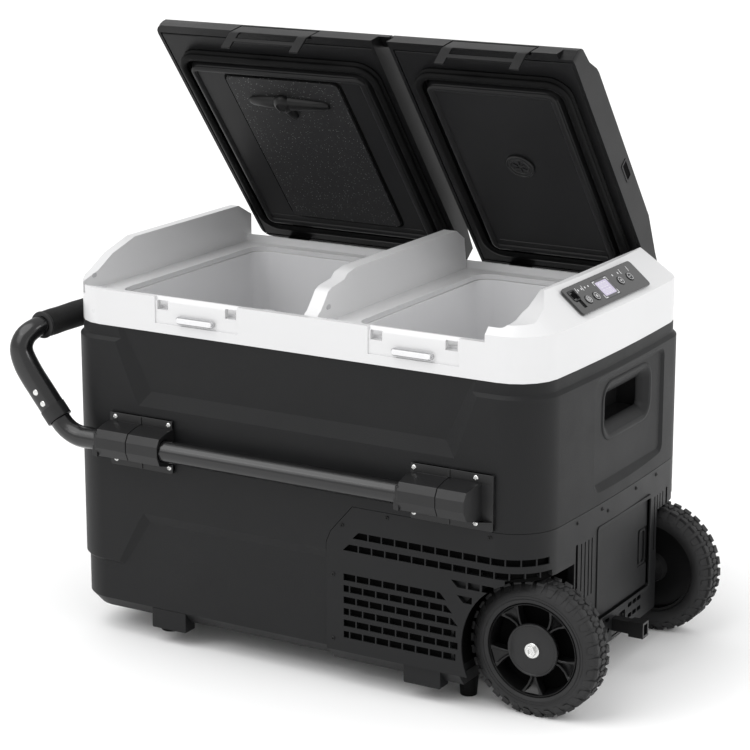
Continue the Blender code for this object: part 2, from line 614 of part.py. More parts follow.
def make_lid(side, span, lip_x):
    """Lid shell, inner panel, gasket and latch. The front lip runs on to lip_x, over the low end of the ridge."""
    left, right = span
    shell = prism(f"lid_{side}_shell", lid_profile(), "X", left, right, LID_BLACK)
    inner_x = right if side == "left" else left
    outline = rounded(left, right, LID_FRONT, LID_BACK, 0.014)
    corners = prism("corners", outline, "Z", 0.3, 0.6)
    x0, x1 = sorted((inner_x, inner_x - 0.02 if side == "left" else inner_x + 0.02))
    keep(shell, join(corners, block("square_end", (x0, LID_FRONT, 0.3), (x1, LID_BACK, 0.6))))
    centre = LATCH_CENTRES[side]
    hollow = prism("hollow", lid_hollow(), "X", left + LID_WALL, right - LID_WALL)
    depth = 0.0045
    low, high = LID_UNDER_Z - 0.01, LID_UNDER_Z + 0.0190
    recess_side = [(-0.22, low), (front_face(low) + depth, low), (front_face(high) + depth, high), (-0.22, high)]
    reach = LATCH_HALF_WIDTH + 0.002
    recess = prism("recess", recess_side, "X", centre - reach, centre + reach)
    notch_back = -BASIN_HALF_WIDTH + 0.0012
    collar_notch = block("collar_notch", (END_RISE_X - 0.0010, -0.21, 0.3), (0.3, notch_back, 0.4403))
    cut(shell, hollow, recess, collar_notch)
    x0, x1 = sorted((lip_x, inner_x - 0.003 if side == "left" else inner_x + 0.003))
    lip_side = [
        (front_face(LID_UNDER_Z + 0.0150), LID_UNDER_Z + 0.0150), (-0.1660, LID_UNDER_Z + 0.0180),
        (-0.1660, LID_UNDER_Z + 0.0258), (LID_FRONT + 0.0155, LID_UNDER_Z + 0.0240),
        (LID_FRONT + 0.0121, LID_UNDER_Z + 0.0220),
    ]
    adds = [prism("lip", lip_side, "X", x0, x1)]
    for x in hinge_stations((span,)):
        adds.append(rod("knuckle", "X", (HINGE_Y, HINGE_Z), KNUCKLE_RADIUS, x - 0.015, x + 0.015, 16))
        web_low = (x - 0.015, LID_BACK - LID_WALL + GAP, HINGE_Z)
        adds.append(block("web", web_low, (x + 0.015, HINGE_Y + 0.0045, LID_UNDER_Z + 0.006)))
    join(shell, *adds)
    cut(shell, rod("bore", "X", (HINGE_Y, HINGE_Z), HINGE_ROD_RADIUS + GAP, left, right, 16))
    smooth(shell)

    inner_left, inner_right = left + LID_WALL + GAP, right - LID_WALL - GAP
    plate_z = LID_UNDER_Z + 0.0005
    plate_front, plate_back = LID_FRONT + 0.0145, LID_BACK - LID_WALL - GAP
    plate = block(
        f"lid_{side}_panel", (inner_left, plate_front, plate_z), (inner_right, plate_back, plate_z + 0.0045), LID_BLACK
    )
    mouth = LEFT_MOUTH if side == "left" else RIGHT_MOUTH
    plug = [
        [(x, y, z) for x, y in mouth_outline(mouth, grow, 0.016)]
        for z, grow in ((PLUG_Z, -0.008), (LID_UNDER_Z + 0.003, -0.004))
    ]
    join(plate, loft("plug", plug))
    gasket = prism(f"lid_{side}_gasket", mouth_outline(mouth, 0.0075, 0.02), "Z", LEDGE_Z + GAP, LID_UNDER_Z, RUBBER)
    cut(gasket, prism("ring", mouth_outline(mouth, -0.003, 0.016), "Z", 0.40, 0.43))
    return [shell, plate, gasket], make_latch(side, centre)


def make_lids():
    pieces, latch = make_lid("left", LEFT_LID, LID_SPLIT_X - LID_SPLIT / 2)
    tray = prism("tray_cover", rounded(*TRAY, 0.008), "Z", PLUG_Z - 0.003, PLUG_Z - GAP, LID_BLACK)
    knob_x, knob_y = TRAY_KNOB
    low, high = PLUG_Z - 0.0095, PLUG_Z - 0.003 - GAP
    knob = block("tray_knob", (knob_x - 0.047, knob_y - 0.007, low), (knob_x + 0.063, knob_y + 0.007, high), BLACK)
    lobe = block("lobe", (knob_x, knob_y, low), (knob_x + 0.016, knob_y + 0.020, high))
    join(knob, lobe, rod("hub", "Z", TRAY_KNOB, 0.0115, low - 0.0035, high, 20))
    pivot = hang([*pieces, tray], "lid_left_pivot", (0.0, HINGE_Y, HINGE_Z))
    hang([latch], "latch_left_pivot", (LATCH_CENTRES["left"], LATCH_PIN_Y, LATCH_PIN_Z), pivot)
    hang([knob], "tray_knob_pivot", (knob_x, knob_y, low), pivot)
    pivot.rotation_euler.x = -LID_OPEN

    pieces, latch = make_lid("right", RIGHT_LID, LID_SPLIT_X + LID_SPLIT / 2)
    vent = rod("lid_vent_plug", "Z", VENT_PLUG, 0.0172, PLUG_Z - 0.003, PLUG_Z - GAP, 28, BLACK)
    pivot = hang([*pieces, vent], "lid_right_pivot", (0.0, HINGE_Y, HINGE_Z))
    hang([latch], "latch_right_pivot", (LATCH_CENTRES["right"], LATCH_PIN_Y, LATCH_PIN_Z), pivot)
    pivot.rotation_euler.x = -LID_OPEN

    for side, (left, right) in (("left", LEFT_LID), ("right", RIGHT_LID)):
        start, end = left + 0.026, right - 0.026
        rod(f"hinge_rod_{side}", "X", (HINGE_Y, HINGE_Z), HINGE_ROD_RADIUS, start, end, 12, BRIGHT_STEEL)


# ---------------------------------------------------------------- wheels and feet


def sector(inner, outer, middle, half_angle, steps=4):
    angles = [middle - half_angle + 2 * half_angle * i / steps for i in range(steps + 1)]
    arc = [(outer * math.cos(a), outer * math.sin(a)) for a in angles]
    squeeze = [middle + (a - middle) * 0.75 for a in reversed(angles)]
    arc += [(inner * math.cos(a), inner * math.sin(a)) for a in squeeze]
    return [(AXLE_X + x, AXLE_Z + z) for x, z in arc]


def make_wheel(label, side):
    centre = (AXLE_X, AXLE_Z)
    tyre = [
        (RIM_RADIUS + GAP, WHEEL_IN + 0.004), (0.062, WHEEL_IN), (0.0725, WHEEL_IN + 0.003),
        (WHEEL_RADIUS, WHEEL_IN + 0.011), (WHEEL_RADIUS, WHEEL_OUT - 0.011), (0.0725, WHEEL_OUT - 0.003),
        (0.062, WHEEL_OUT), (RIM_RADIUS + GAP, WHEEL_OUT - 0.004),
    ]
    tyre = smooth(turned(f"tyre_{label}", tyre, centre, side, 40, RUBBER), 50)
    web_in, web_out = WHEEL_OUT - 0.017, WHEEL_OUT - 0.009
    barrel = [
        (RIM_RADIUS, WHEEL_IN + 0.005), (RIM_RADIUS, WHEEL_OUT - 0.004), (0.047, WHEEL_OUT - 0.004),
        (0.045, web_out),
        (0.032, web_out + 0.002), (0.031, WHEEL_OUT - 0.0035), (AXLE_RADIUS + GAP, WHEEL_OUT - 0.0035),
        (AXLE_RADIUS + GAP, WHEEL_IN + 0.003), (0.016, WHEEL_IN + 0.003), (0.018, web_in), (0.045, web_in),
        (0.046, WHEEL_IN + 0.005),
    ]
    rim = turned(f"rim_{label}", barrel, centre, side, 40, BLACK)
    windows = [
        prism("window", sector(0.0335, 0.0435, 2 * math.pi * i / 5 - math.pi / 2 + math.pi / 5, math.radians(27)), "Y",
              side * (web_in - 0.002), side * (WHEEL_OUT + 0.001))
        for i in range(5)
    ]
    smooth(cut(rim, *windows))
    hang([tyre, rim], f"wheel_{label}_pivot", (AXLE_X, side * (WHEEL_OUT + WHEEL_IN) / 2, AXLE_Z))
    bolt_in, bolt_out = side * (WHEEL_OUT - 0.0030), side * (WHEEL_OUT + 0.0030)
    rod(f"axle_bolt_{label}", "Y", centre, 0.009, bolt_in, bolt_out, 12, BRIGHT_STEEL)


def make_running_gear():
    for label, side in (("front", -1), ("back", 1)):
        make_wheel(label, side)
    half = WHEEL_OUT - 0.0033
    rod("axle", "Y", (AXLE_X, AXLE_Z), AXLE_RADIUS, -half, half, 16, BRIGHT_STEEL)
    for label, x, y in (("front_left", -0.200, -0.148), ("back_left", -0.200, 0.148)):
        foot = [[(a, b, z) for a, b in circle(r, 20, (x, y))] for r, z in ((0.0125, 0.0), (0.015, BOTTOM_Z - GAP))]
        loft(f"foot_{label}", foot, RUBBER)
    for label, x, y in (("front_right", 0.205, -0.148), ("back_right", 0.205, 0.148)):
        foot = [[(a, b, z) for a, b in circle(r, 20, (x, y))] for r, z in ((0.0095, 0.0), (0.0115, 0.0255 - GAP))]
        loft(f"foot_{label}", foot, RUBBER)
    bumper = block("tilt_bumper", (0.3380, -0.014, 0.0494), (0.3560, 0.0015, 0.0680), BLACK)
    mount = block("mount", (0.3030, -0.030, 0.0420), (0.3125, 0.040, 0.0660))
    neck = block("neck", (0.3100, -0.0122, 0.0520), (0.3400, 0.0002, 0.0664))
    join(bumper, mount, neck)
    cut(bumper, block("hollow", (0.343, -0.0110, 0.0525), (0.36, -0.0015, 0.0650)))


# ---------------------------------------------------------------- pull handle


def bracket_outline():
    """The rail bracket seen from the end: a base plate with a faceted housing, as distance out and height."""
    return [
        (0.0, -0.0290), (0.004, -0.0290), (0.004, -0.0210), (0.0160, -0.0200), (0.0300, -0.0160), (0.0350, -0.0050),
        (0.0350, 0.0070), (0.0300, 0.0160), (0.0150, 0.0200), (0.004, 0.0210), (0.004, 0.0310), (0.0, 0.0310),
    ]


def make_brackets():
    spans = {
        "left_outer": (-0.2420, -0.1990, False), "left_inner": (-0.1980, -0.1545, False),
        "right_inner": (0.1605, 0.2075, False), "right_outer": (0.2085, 0.2620, True),
    }
    for label, side in (("front", -1), ("back", 1)):
        for part, (x0, x1, closed) in spans.items():
            outline = [(side * (HALF_WIDTH + GAP + out), RAIL_Z + up) for out, up in bracket_outline()]
            item = prism(f"bracket_{label}_{part}", outline, "X", x0, x1, BLACK)
            tools = []
            if closed:
                y0, y1 = side * (HALF_WIDTH + 0.0045), side * (HALF_WIDTH + 0.05)
                wedge = [(0.2400, y1), (0.30, y1), (0.30, y0), (0.2480, y0)]
                tools.append(prism("wedge", wedge, "Z", 0.1, 0.4))
            end = 0.2375 if closed else x1 + 0.01
            tools.append(rod("bore", "X", (side * RAIL_Y, RAIL_Z), RAIL_RADIUS + 0.0005, x0 - 0.01, end, 20))
            cut(item, *tools)


def bow_slope():
    return Vector((-math.cos(RAIL_BEND), 0.0, math.sin(RAIL_BEND)))


def bow_path(side):
    """The front or back arm of the bow, from its rail joint up to the grip."""
    slope = bow_slope()
    start = rail_path(side)[-1] + slope * GAP
    return [
        start, start + slope * 0.012, start + slope * 0.030, Vector((-0.3500, side * RAIL_Y, 0.314)),
        Vector((BOW_LEFT, side * RAIL_Y, 0.336)), Vector((-0.3560, side * (RAIL_Y - 0.002), 0.355)),
        Vector((-0.3480, side * (RAIL_Y - 0.011), 0.3660)), Vector((GRIP_X, side * GRIP_HALF_LENGTH, GRIP_Z)),
        Vector((GRIP_X, side * (GRIP_HALF_LENGTH - 0.02), GRIP_Z)),
    ]


def rail_path(side):
    y = side * RAIL_Y
    points = [Vector((RAIL_RIGHT, y, RAIL_Z)), Vector((0.0, y, RAIL_Z)), Vector((RAIL_BEND_X + 0.01, y, RAIL_Z))]
    steps = 6
    for i in range(steps + 1):
        turn = RAIL_BEND * i / steps
        x = RAIL_BEND_X - RAIL_BEND_RADIUS * math.sin(turn)
        points.append(Vector((x, y, RAIL_Z + RAIL_BEND_RADIUS * (1 - math.cos(turn)))))
    points.append(points[-1] + 0.006 * bow_slope())
    return points


def make_handle():
    pieces = [
        tube("rail_front", rail_path(-1), RAIL_RADIUS, PAINTED_STEEL),
        tube("rail_back", rail_path(1), RAIL_RADIUS, PAINTED_STEEL),
    ]
    path = through([*bow_path(-1), *reversed(bow_path(1))], 0.014)
    straight = [p for i, p in enumerate(path) if abs(p.y) >= GRIP_HALF_LENGTH - 0.02 or i == 0]
    pieces.append(tube("handle_bow", straight, BOW_RADIUS, PAINTED_STEEL))
    grip_end = GRIP_HALF_LENGTH - 0.004
    grip = rod("handle_grip", "Y", (GRIP_X, GRIP_Z), GRIP_RADIUS, -grip_end, grip_end, 24, FOAM)
    cut(grip, rod("bore", "Y", (GRIP_X, GRIP_Z), BOW_RADIUS + 0.0006, -0.3, 0.3, 24))
    pieces.append(grip)
    hang(pieces, "handle_pivot", (-0.25, 0.0, RAIL_Z))


def main():
    clear_scene()
    make_shell()
    make_base()
    make_vent_cover()
    make_collar()
    make_liner("liner_left", LEFT_MOUTH, LEFT_FLOOR_Z)
    make_liner("liner_right", RIGHT_MOUTH, RIGHT_FLOOR_Z)
    make_insulation()
    pocket = carry_pocket("carry_pocket", 0.0, 0.3010, BLACK)
    cut(pocket, block("inner", (0.2745, -0.0255, 0.2955), (0.4, 0.0755, 0.3335)))
    make_machinery()
    make_battery_door()
    make_control_panel()
    make_lids()
    make_running_gear()
    make_brackets()
    make_handle()


main()
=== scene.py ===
"""Compressor cooler fridge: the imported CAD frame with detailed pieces, procedural materials, light and camera.

In the CAD's frame. Shapes are drawn in millimetres, and lights and the camera are placed in metres. Pieces that
belong to a lid are drawn with the lid closed, then turned to its rest pose.
"""

from math import copysign, cos, pi, radians, sin, sqrt, tau

import bmesh
import bpy
from mathutils import Matrix, Vector


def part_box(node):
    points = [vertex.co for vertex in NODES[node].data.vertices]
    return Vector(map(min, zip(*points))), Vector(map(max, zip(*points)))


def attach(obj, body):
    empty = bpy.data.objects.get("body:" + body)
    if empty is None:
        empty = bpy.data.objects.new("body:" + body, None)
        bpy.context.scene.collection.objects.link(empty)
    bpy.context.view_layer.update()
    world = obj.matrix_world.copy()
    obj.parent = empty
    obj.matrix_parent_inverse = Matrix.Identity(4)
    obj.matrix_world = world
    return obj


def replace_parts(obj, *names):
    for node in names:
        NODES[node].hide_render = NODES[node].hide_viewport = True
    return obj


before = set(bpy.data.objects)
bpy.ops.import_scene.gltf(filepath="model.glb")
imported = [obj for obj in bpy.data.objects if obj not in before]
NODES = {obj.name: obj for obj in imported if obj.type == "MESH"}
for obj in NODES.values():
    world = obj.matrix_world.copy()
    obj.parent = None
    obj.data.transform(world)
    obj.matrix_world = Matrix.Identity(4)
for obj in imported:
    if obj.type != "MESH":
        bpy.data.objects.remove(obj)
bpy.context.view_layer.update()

MM = 0.001
SIDES = (("front", -1), ("back", 1))
FAR = 400  # Beyond the cabinet on every side.

HALF_LENGTH, HALF_WIDTH, CORNER_RADIUS, END_BOW = 310, 199.3, 50, 7
CORNER_X, CORNER_Y = HALF_LENGTH - CORNER_RADIUS, HALF_WIDTH - CORNER_RADIUS
STEP, GAP, SKIN = 4, 0.4, 2
BAY_X, BAY_TOP_Z = 49.7, 214.2
LEDGE_Z, LID_UNDER_Z, PLUG_Z = 410, 423, 411.5
MOUTH_FRONT, MOUTH_BACK = -150, 150
LEFT_MOUTH, RIGHT_MOUTH = (-266, -5), (58, 240)
LATCH_X = (("left", -124.5), ("right", 158))
HINGE = Vector((0, 182.3, 398.9))
OPEN = Matrix.Translation(HINGE) @ Matrix.Rotation(radians(-51.5), 4, "X") @ Matrix.Translation(-HINGE)
AXLE_X, AXLE_Z, WHEEL_RADIUS, RIM_RADIUS = 295.9, 77.7, 77.7, 53
WHEEL_OUT, WHEEL_IN = 176.1, 134
WELL_RADIUS, ARCH_REACH, ARCH_HEIGHT, WELL_WALL_Y = 86, 73.5, 81.5, 108
RAIL_Y, RAIL_Z = 219.8, 247.6
GRIP_X, GRIP_Z = -345, 367.5
INLET_X, INLET_Z = 130, 185

# A plane whose X is the world's Y, Y the world's Z, and Z the world's X.
END_FACE = Matrix(((0, 0, 1, 0), (1, 0, 0, 0), (0, 1, 0, 0), (0, 0, 0, 1)))


# ---- materials

BUMP_HEIGHT = 0.0006


def feed(tree, node, **inputs):
    """Fills a node's inputs. A socket is linked, and any other value is set."""
    for name, value in inputs.items():
        socket = node.inputs[name.replace("_", " ")]
        if isinstance(value, bpy.types.NodeSocket):
            tree.links.new(value, socket)
        else:
            socket.default_value = value
    return node


def add_node(tree, kind, **inputs):
    return feed(tree, tree.nodes.new("ShaderNode" + kind), **inputs)


def finish(name, base, roughness, grain, mottle, shine=0.5, metallic=0.0, coat=0.0, blotch=0.06, cells=False):
    """A finish with fine grain in its bump, and slow changes in its colour and roughness.

    grain is a scale and a strength, and mottle a scale and a share of the colour.
    """
    made = bpy.data.materials.new(name)
    made.use_nodes = True
    tree = made.node_tree
    place = add_node(tree, "TexCoord").outputs["Object"]
    slow = add_node(tree, "TexNoise", Vector=place, Scale=mottle[0], Detail=4.0)
    ramp = add_node(tree, "ValToRGB", Fac=slow.outputs["Fac"])
    ends = ramp.color_ramp.elements
    for element, position, share in zip(ends, (0.3, 0.72), (1 - mottle[1], 1 + mottle[1])):
        element.position = position
        element.color = (*[min(c * share, 1.0) for c in base], 1.0)
    patches = add_node(tree, "TexNoise", Vector=place, Scale=mottle[0] * 3.1, Detail=5.0)
    low, high = max(roughness - blotch, 0.02), min(roughness + blotch, 1.0)
    spread = add_node(tree, "MapRange", Value=patches.outputs["Fac"], To_Min=low, To_Max=high)
    if cells:
        height = add_node(tree, "TexVoronoi", Vector=place, Scale=grain[0]).outputs["Distance"]
    else:
        height = add_node(tree, "TexNoise", Vector=place, Scale=grain[0], Detail=3.0).outputs["Fac"]
    bump = add_node(tree, "Bump", Height=height, Strength=grain[1], Distance=BUMP_HEIGHT)
    feed(
        tree, tree.nodes["Principled BSDF"], Base_Color=ramp.outputs["Color"], Metallic=metallic,
        Roughness=spread.outputs["Result"], Normal=bump.outputs["Normal"], Coat_Weight=coat, Coat_Roughness=0.12,
        Specular_IOR_Level=shine,
    )
    return made


def speckle(made, scale, size, colour):
    """Adds sparse light flecks over a finish's colour."""
    tree = made.node_tree
    shader = tree.nodes["Principled BSDF"]
    under = shader.inputs["Base Color"].links[0].from_socket
    place = next(n for n in tree.nodes if n.type == "TEX_COORD").outputs["Object"]
    dots = add_node(tree, "TexVoronoi", Vector=place, Scale=scale)
    edge = add_node(tree, "MapRange", Value=dots.outputs["Distance"], From_Min=size, From_Max=size * 0.5)
    mix = add_node(tree, "Mix", Factor=edge.outputs["Result"])
    mix.data_type = "RGBA"
    plain, fleck = (socket for socket in mix.inputs if socket.type == "RGBA")
    tree.links.new(under, plain)
    fleck.default_value = (*colour, 1.0)
    feed(tree, shader, Base_Color=next(socket for socket in mix.outputs if socket.type == "RGBA"))


CHARCOAL_BASE = (0.0072, 0.0074, 0.0079)
CHARCOAL = finish("charcoal_textured", CHARCOAL_BASE, 0.5, (1100, 0.34), (9, 0.07), 0.22)
CHARCOAL_FINE = finish("charcoal_fine", CHARCOAL_BASE, 0.44, (1500, 0.2), (11, 0.07), 0.22)
WHITE = finish("white_moulding", (0.645, 0.645, 0.65), 0.3, (700, 0.04), (7, 0.012), coat=0.15)
WHITE_LINER = finish("white_liner", (0.74, 0.74, 0.75), 0.36, (900, 0.06), (6, 0.015))
KNOB = finish("knob_black", (0.0032, 0.0032, 0.0033), 0.32, (900, 0.08), (30, 0.1), 0.22)
RIM = finish("rim_black", (0.0045, 0.0045, 0.0047), 0.3, (600, 0.03), (18, 0.1), 0.3)
CATCH = finish("catch_grey", (0.72, 0.72, 0.73), 0.26, (900, 0.04), (30, 0.03), coat=0.3)
# Grey for the clips and stops, and painted shade for the groove round the latch catches.
GREY_CLIP_AND_GROOVE_SHADE = finish("grey_clip_and_groove_shade", (0.42, 0.42, 0.43), 0.4, (900, 0.06), (30, 0.05))
LID = finish("lid_satin", (0.0058, 0.0058, 0.0061), 0.38, (1300, 0.16), (8, 0.1), 0.18)
LID_INNER = finish("lid_inner", (0.0088, 0.0088, 0.0092), 0.36, (1000, 0.1), (10, 0.1), 0.18)
TRAY = finish("tray_flecked", (0.0095, 0.0095, 0.01), 0.5, (1200, 0.35), (20, 0.12), 0.28)
speckle(TRAY, 330, 0.17, (0.3, 0.3, 0.3))
BLACK = finish("black_moulding", (0.0068, 0.0068, 0.0071), 0.36, (1200, 0.14), (16, 0.1), 0.36)
BRACKET = finish("bracket_plastic", (0.0088, 0.0088, 0.0092), 0.38, (1200, 0.16), (16, 0.1), 0.36)
GLOSS = finish(
    "gloss_black", (0.008, 0.008, 0.0085), 0.16, (300, 0.02), (18, 0.1), coat=0.5, blotch=0.04,
)
# Near black and dull, a darker copy of black plastic: painted shade for wheel wells, rim pockets, gaps, slot floors and
# the space behind the grilles.
SHADE_BLACK = finish("painted_shade_black", (0.002, 0.002, 0.002), 0.8, (900, 0.1), (16, 0.1), 0.04)
TYRE = finish("tyre_rubber", (0.0135, 0.0135, 0.014), 0.6, (750, 0.32), (26, 0.18), 0.36)
RUBBER = finish("seal_rubber", (0.0026, 0.0026, 0.0027), 0.55, (1100, 0.12), (20, 0.12), 0.1)
FOAM = finish("grip_foam", (0.008, 0.008, 0.0083), 0.8, (620, 0.7), (30, 0.2), 0.3, cells=True)
STEEL_BLACK = finish(
    "painted_tube", (0.0065, 0.0065, 0.0069), 0.24, (420, 0.03), (12, 0.08), metallic=0.1, coat=0.15,
)
STEEL = finish("zinc_plate", (0.72, 0.72, 0.71), 0.26, (1600, 0.12), (160, 0.08), metallic=1.0)
SCREW_BLACK = finish(
    "blackened_screw", (0.01, 0.01, 0.01), 0.34, (1600, 0.1), (160, 0.1), metallic=0.6,
)
COPPER = finish("drawn_copper", (0.7, 0.36, 0.23), 0.3, (800, 0.1), (60, 0.16), metallic=1.0)
BOARD = finish("solder_mask", (0.02, 0.15, 0.07), 0.42, (500, 0.2), (120, 0.3))
INSULATION = finish("poured_foam", (0.72, 0.65, 0.42), 0.9, (500, 0.6), (30, 0.1), cells=True)
MARK = finish("printed_white", (0.72, 0.72, 0.73), 0.5, (900, 0.05), (90, 0.04))
GLASS = finish(
    "smoked_window", (0.028, 0.028, 0.034), 0.08, (200, 0.01), (40, 0.1), coat=0.6, blotch=0.02,
)
SCREEN = finish("lit_screen", (0.36, 0.33, 0.42), 0.25, (900, 0.03), (120, 0.06))
feed(
    SCREEN.node_tree, SCREEN.node_tree.nodes["Principled BSDF"], Emission_Color=(0.5, 0.45, 0.6, 1.0),
    Emission_Strength=0.35,
)


# ---- mesh building


def belong(piece, body, node=None):
    """Puts a piece on its body, in place of a CAD node if one is named."""
    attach(piece, body)
    if node:
        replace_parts(piece, node)


def add_object(name, data):
    made = bpy.data.objects.new(name, data)
    bpy.context.scene.collection.objects.link(made)
    return made


def add_piece(name, shape, material, body=None, smooth=35):
    bmesh.ops.recalc_face_normals(shape, faces=shape.faces)
    mesh = bpy.data.meshes.new(name)
    shape.to_mesh(mesh)
    shape.free()
    piece = add_object(name, mesh)
    mesh.materials.append(material)
    mesh.shade_smooth()
    mesh.set_sharp_from_angle(angle=radians(smooth))
    if body:
        belong(piece, body)
    return piece


def add_loft(shape, rings, closed=False):
    """Adds a solid through rings of points. closed joins the last ring to the first."""
    loops = [[shape.verts.new(Vector(point) * MM) for point in ring] for ring in rings]
    pairs = list(zip(loops, loops[1:]))
    if closed:
        pairs.append((loops[-1], loops[0]))
    for low, high in pairs:
        for i in range(len(low)):
            j = (i + 1) % len(low)
            shape.faces.new((low[i], low[j], high[j], high[i]))
    if not closed:
        shape.faces.new(loops[0][::-1])
        shape.faces.new(loops[-1])


def stack(place, levels):
    """Rings from (outline, height) pairs, along the place's Z."""
    return [[place @ Vector((a, b, height)) for a, b in outline] for outline, height in levels]


def add_prism(shape, outline, start, end, place):
    """Adds an outline extruded from start to end along the place's Z."""
    add_loft(shape, stack(place, ((outline, start), (outline, end))))


def polar(radius, turn):
    return (radius * cos(turn), radius * sin(turn))


def circle(radius, sides):
    return [polar(radius, tau * i / sides) for i in range(sides)]


def rounded(x0, x1, y0, y1, radius, steps=6, grow=0):
    """A rectangle with round corners. grow widens it on every side, and its corners with it."""
    x0, x1, y0, y1, radius = x0 - grow, x1 + grow, y0 - grow, y1 + grow, radius + grow
    points = []
    for x, y, first in ((x0, y0, 180), (x1, y0, 270), (x1, y1, 0), (x0, y1, 90)):
        cx = x + radius if x == x0 else x - radius
        cy = y + radius if y == y0 else y - radius
        for i in range(steps + 1):
            dx, dy = polar(radius, radians(first + 90 * i / steps))
            points.append((cx + dx, cy + dy))
    return points


def loft(name, rings, material, body=None, closed=False, smooth=35):
    shape = bmesh.new()
    add_loft(shape, rings, closed)
    return add_piece(name, shape, material, body, smooth)


def prisms(name, outlines, start, end, place, material, body=None):
    """One piece of several outlines, each extruded along the place's Z."""
    shape = bmesh.new()
    for outline in outlines:
        add_prism(shape, outline, start, end, place)
    return add_piece(name, shape, material, body)


def plate(name, outline, start, end, place, material, body="cabinet", edge=0):
    """A flat piece with eased edges."""
    piece = loft(name, stack(place, ((outline, start), (outline, end))), material, body)
    if edge:
        ease(piece, edge)


def framed(name, outer, inner, low, high, place, material, body="cabinet", slot=None):
    """A flat frame between two outlines."""
    levels = ((outer, low), (outer, high), (inner, high), (inner, low))
    return loft(name, stack(place, levels), material, body, closed=True)


def turned(name, profile, place, sides, material, body=None):
    """Turns a closed profile of (radius, height) pairs round the place's Z."""
    rings = []
    for i in range(sides):
        turn = tau * i / sides
        rings.append([place @ Vector((*polar(r, turn), h)) for r, h in profile])
    return loft(name, rings, material, body, closed=True)


def ease(piece, width, segments=2, angle=30):
    """Rounds the edges that are sharper than the angle."""
    step = piece.modifiers.new("eased_edges", "BEVEL")
    step.width = width * MM
    step.segments = segments
    step.limit_method = "ANGLE"
    step.angle_limit = radians(angle)
    step.use_clamp_overlap = True
    normals = piece.modifiers.new("normals", "WEIGHTED_NORMAL")
    normals.keep_sharp = False


def combine(piece, tools, operation="DIFFERENCE"):
    """Cuts the tools from a piece, or keeps what they share, and removes them."""
    for tool in tools:
        step = piece.modifiers.new("shape", "BOOLEAN")
        step.operation = operation
        step.solver = "EXACT"
        step.object = tool
    bpy.context.view_layer.update()
    mesh = bpy.data.meshes.new_from_object(piece.evaluated_get(bpy.context.evaluated_depsgraph_get()))
    piece.modifiers.clear()
    piece.data = mesh
    for tool in tools:
        bpy.data.objects.remove(tool)


def cutter(rings):
    return loft("tool", rings, BLACK)


def box_cutter(low, high):
    (x0, y0, z0), (x1, y1, z1) = low, high
    return cutter([[(x, y, z) for x, y in ((x0, y0), (x1, y0), (x1, y1), (x0, y1))] for z in (z0, z1)])


def y_rings(outline, y0, y1):
    """Rings of an outline in X and Z, at two Y."""
    return [[(a, y, b) for a, b in outline] for y in (y0, y1)]


def y_cutter(outline, y0, y1):
    return cutter(y_rings(outline, y0, y1))


def facing(centre, normal):
    """A matrix whose Z is the level normal, with Y up."""
    z = Vector(normal).normalized()
    x = Vector((0, 0, 1)).cross(z)
    x = x.normalized() if x.length > 1e-6 else Vector((1, 0, 0))
    return Matrix.Translation(centre) @ Matrix((x, z.cross(x), z)).transposed().to_4x4()


def outwards(side, x, z, out=0):
    """The place on a long face, front at side -1 and back at 1."""
    return facing((x, side * (HALF_WIDTH + out), z), (0, side, 0))


def screw(name, place, radius, material):
    """A pan-head screw with a cross recess, facing along the place's Z."""
    axis = 0.4
    profile = [
        (axis, -1.2), (radius * 0.98, -1.2), (radius, radius * 0.22), (radius * 0.82, radius * 0.46),
        (radius * 0.45, radius * 0.60), (axis, radius * 0.63),
    ]
    head = turned(name, profile, place, 20, material)
    arm, thin = radius * 0.56, radius * 0.14
    bars = [[(-a, -b), (a, -b), (a, b), (-a, b)] for a, b in ((arm, thin), (thin, arm))]
    combine(head, [cutter(stack(place, ((bar, radius * 0.18), (bar, radius)))) for bar in bars])
    belong(head, "cabinet")


CORNER_STEPS, END_STEPS = 14, 20


def footprint(inset, z):
    """The cabinet's outline at a height, drawn in by inset, with its bowed wheel end."""
    x, y = HALF_LENGTH - inset, HALF_WIDTH - inset
    radius = max(CORNER_RADIUS - inset, 6)
    points = rounded(-x, x, -y, y, radius, CORNER_STEPS)
    end = 2 * (CORNER_STEPS + 1)
    for i in range(1, END_STEPS):
        points.insert(end + i - 1, (x, -(y - radius) + 2 * (y - radius) * i / END_STEPS))
    bowed = []
    for px, py in points:
        share = min(max((px - (x - radius)) / radius, 0), 1)
        bowed.append((px + share * END_BOW * (1 - (py / y) ** 2), py, z))
    return bowed


def round_corner(side, distance):
    """The point and outward normal at a distance from the corner's start, towards the wheel end."""
    if distance <= 0:
        return Vector((CORNER_X + distance, side * HALF_WIDTH, 0)), Vector((0, side, 0))
    turn = min(distance / CORNER_RADIUS, pi / 2)
    normal = Vector((sin(turn), side * cos(turn), 0))
    spot = Vector((CORNER_X, side * CORNER_Y, 0)) + CORNER_RADIUS * normal
    share = (spot.x - CORNER_X) / CORNER_RADIUS
    spot.x += share * END_BOW * (1 - (spot.y / HALF_WIDTH) ** 2)
    spot.y -= side * max(distance - CORNER_RADIUS * pi / 2, 0)
    return spot, normal


# ---- CAD pieces that stay


def dress(name, material, width, angle=32):
    """Gives a CAD node its finish and, if there is a width, a round on its edges."""
    node = NODES[name]
    for slot in node.material_slots:
        slot.link = "OBJECT"
        slot.material = material
    node.data.shade_smooth()
    weld = node.modifiers.new("weld", "WELD")
    weld.merge_threshold = 0.00001
    flat = node.modifiers.new("flat_faces", "DECIMATE")
    flat.decimate_type = "DISSOLVE"
    flat.angle_limit = radians(1)
    if width:
        ease(node, width, 2, angle)
    else:
        node.modifiers.new("normals", "WEIGHTED_NORMAL").keep_sharp = False


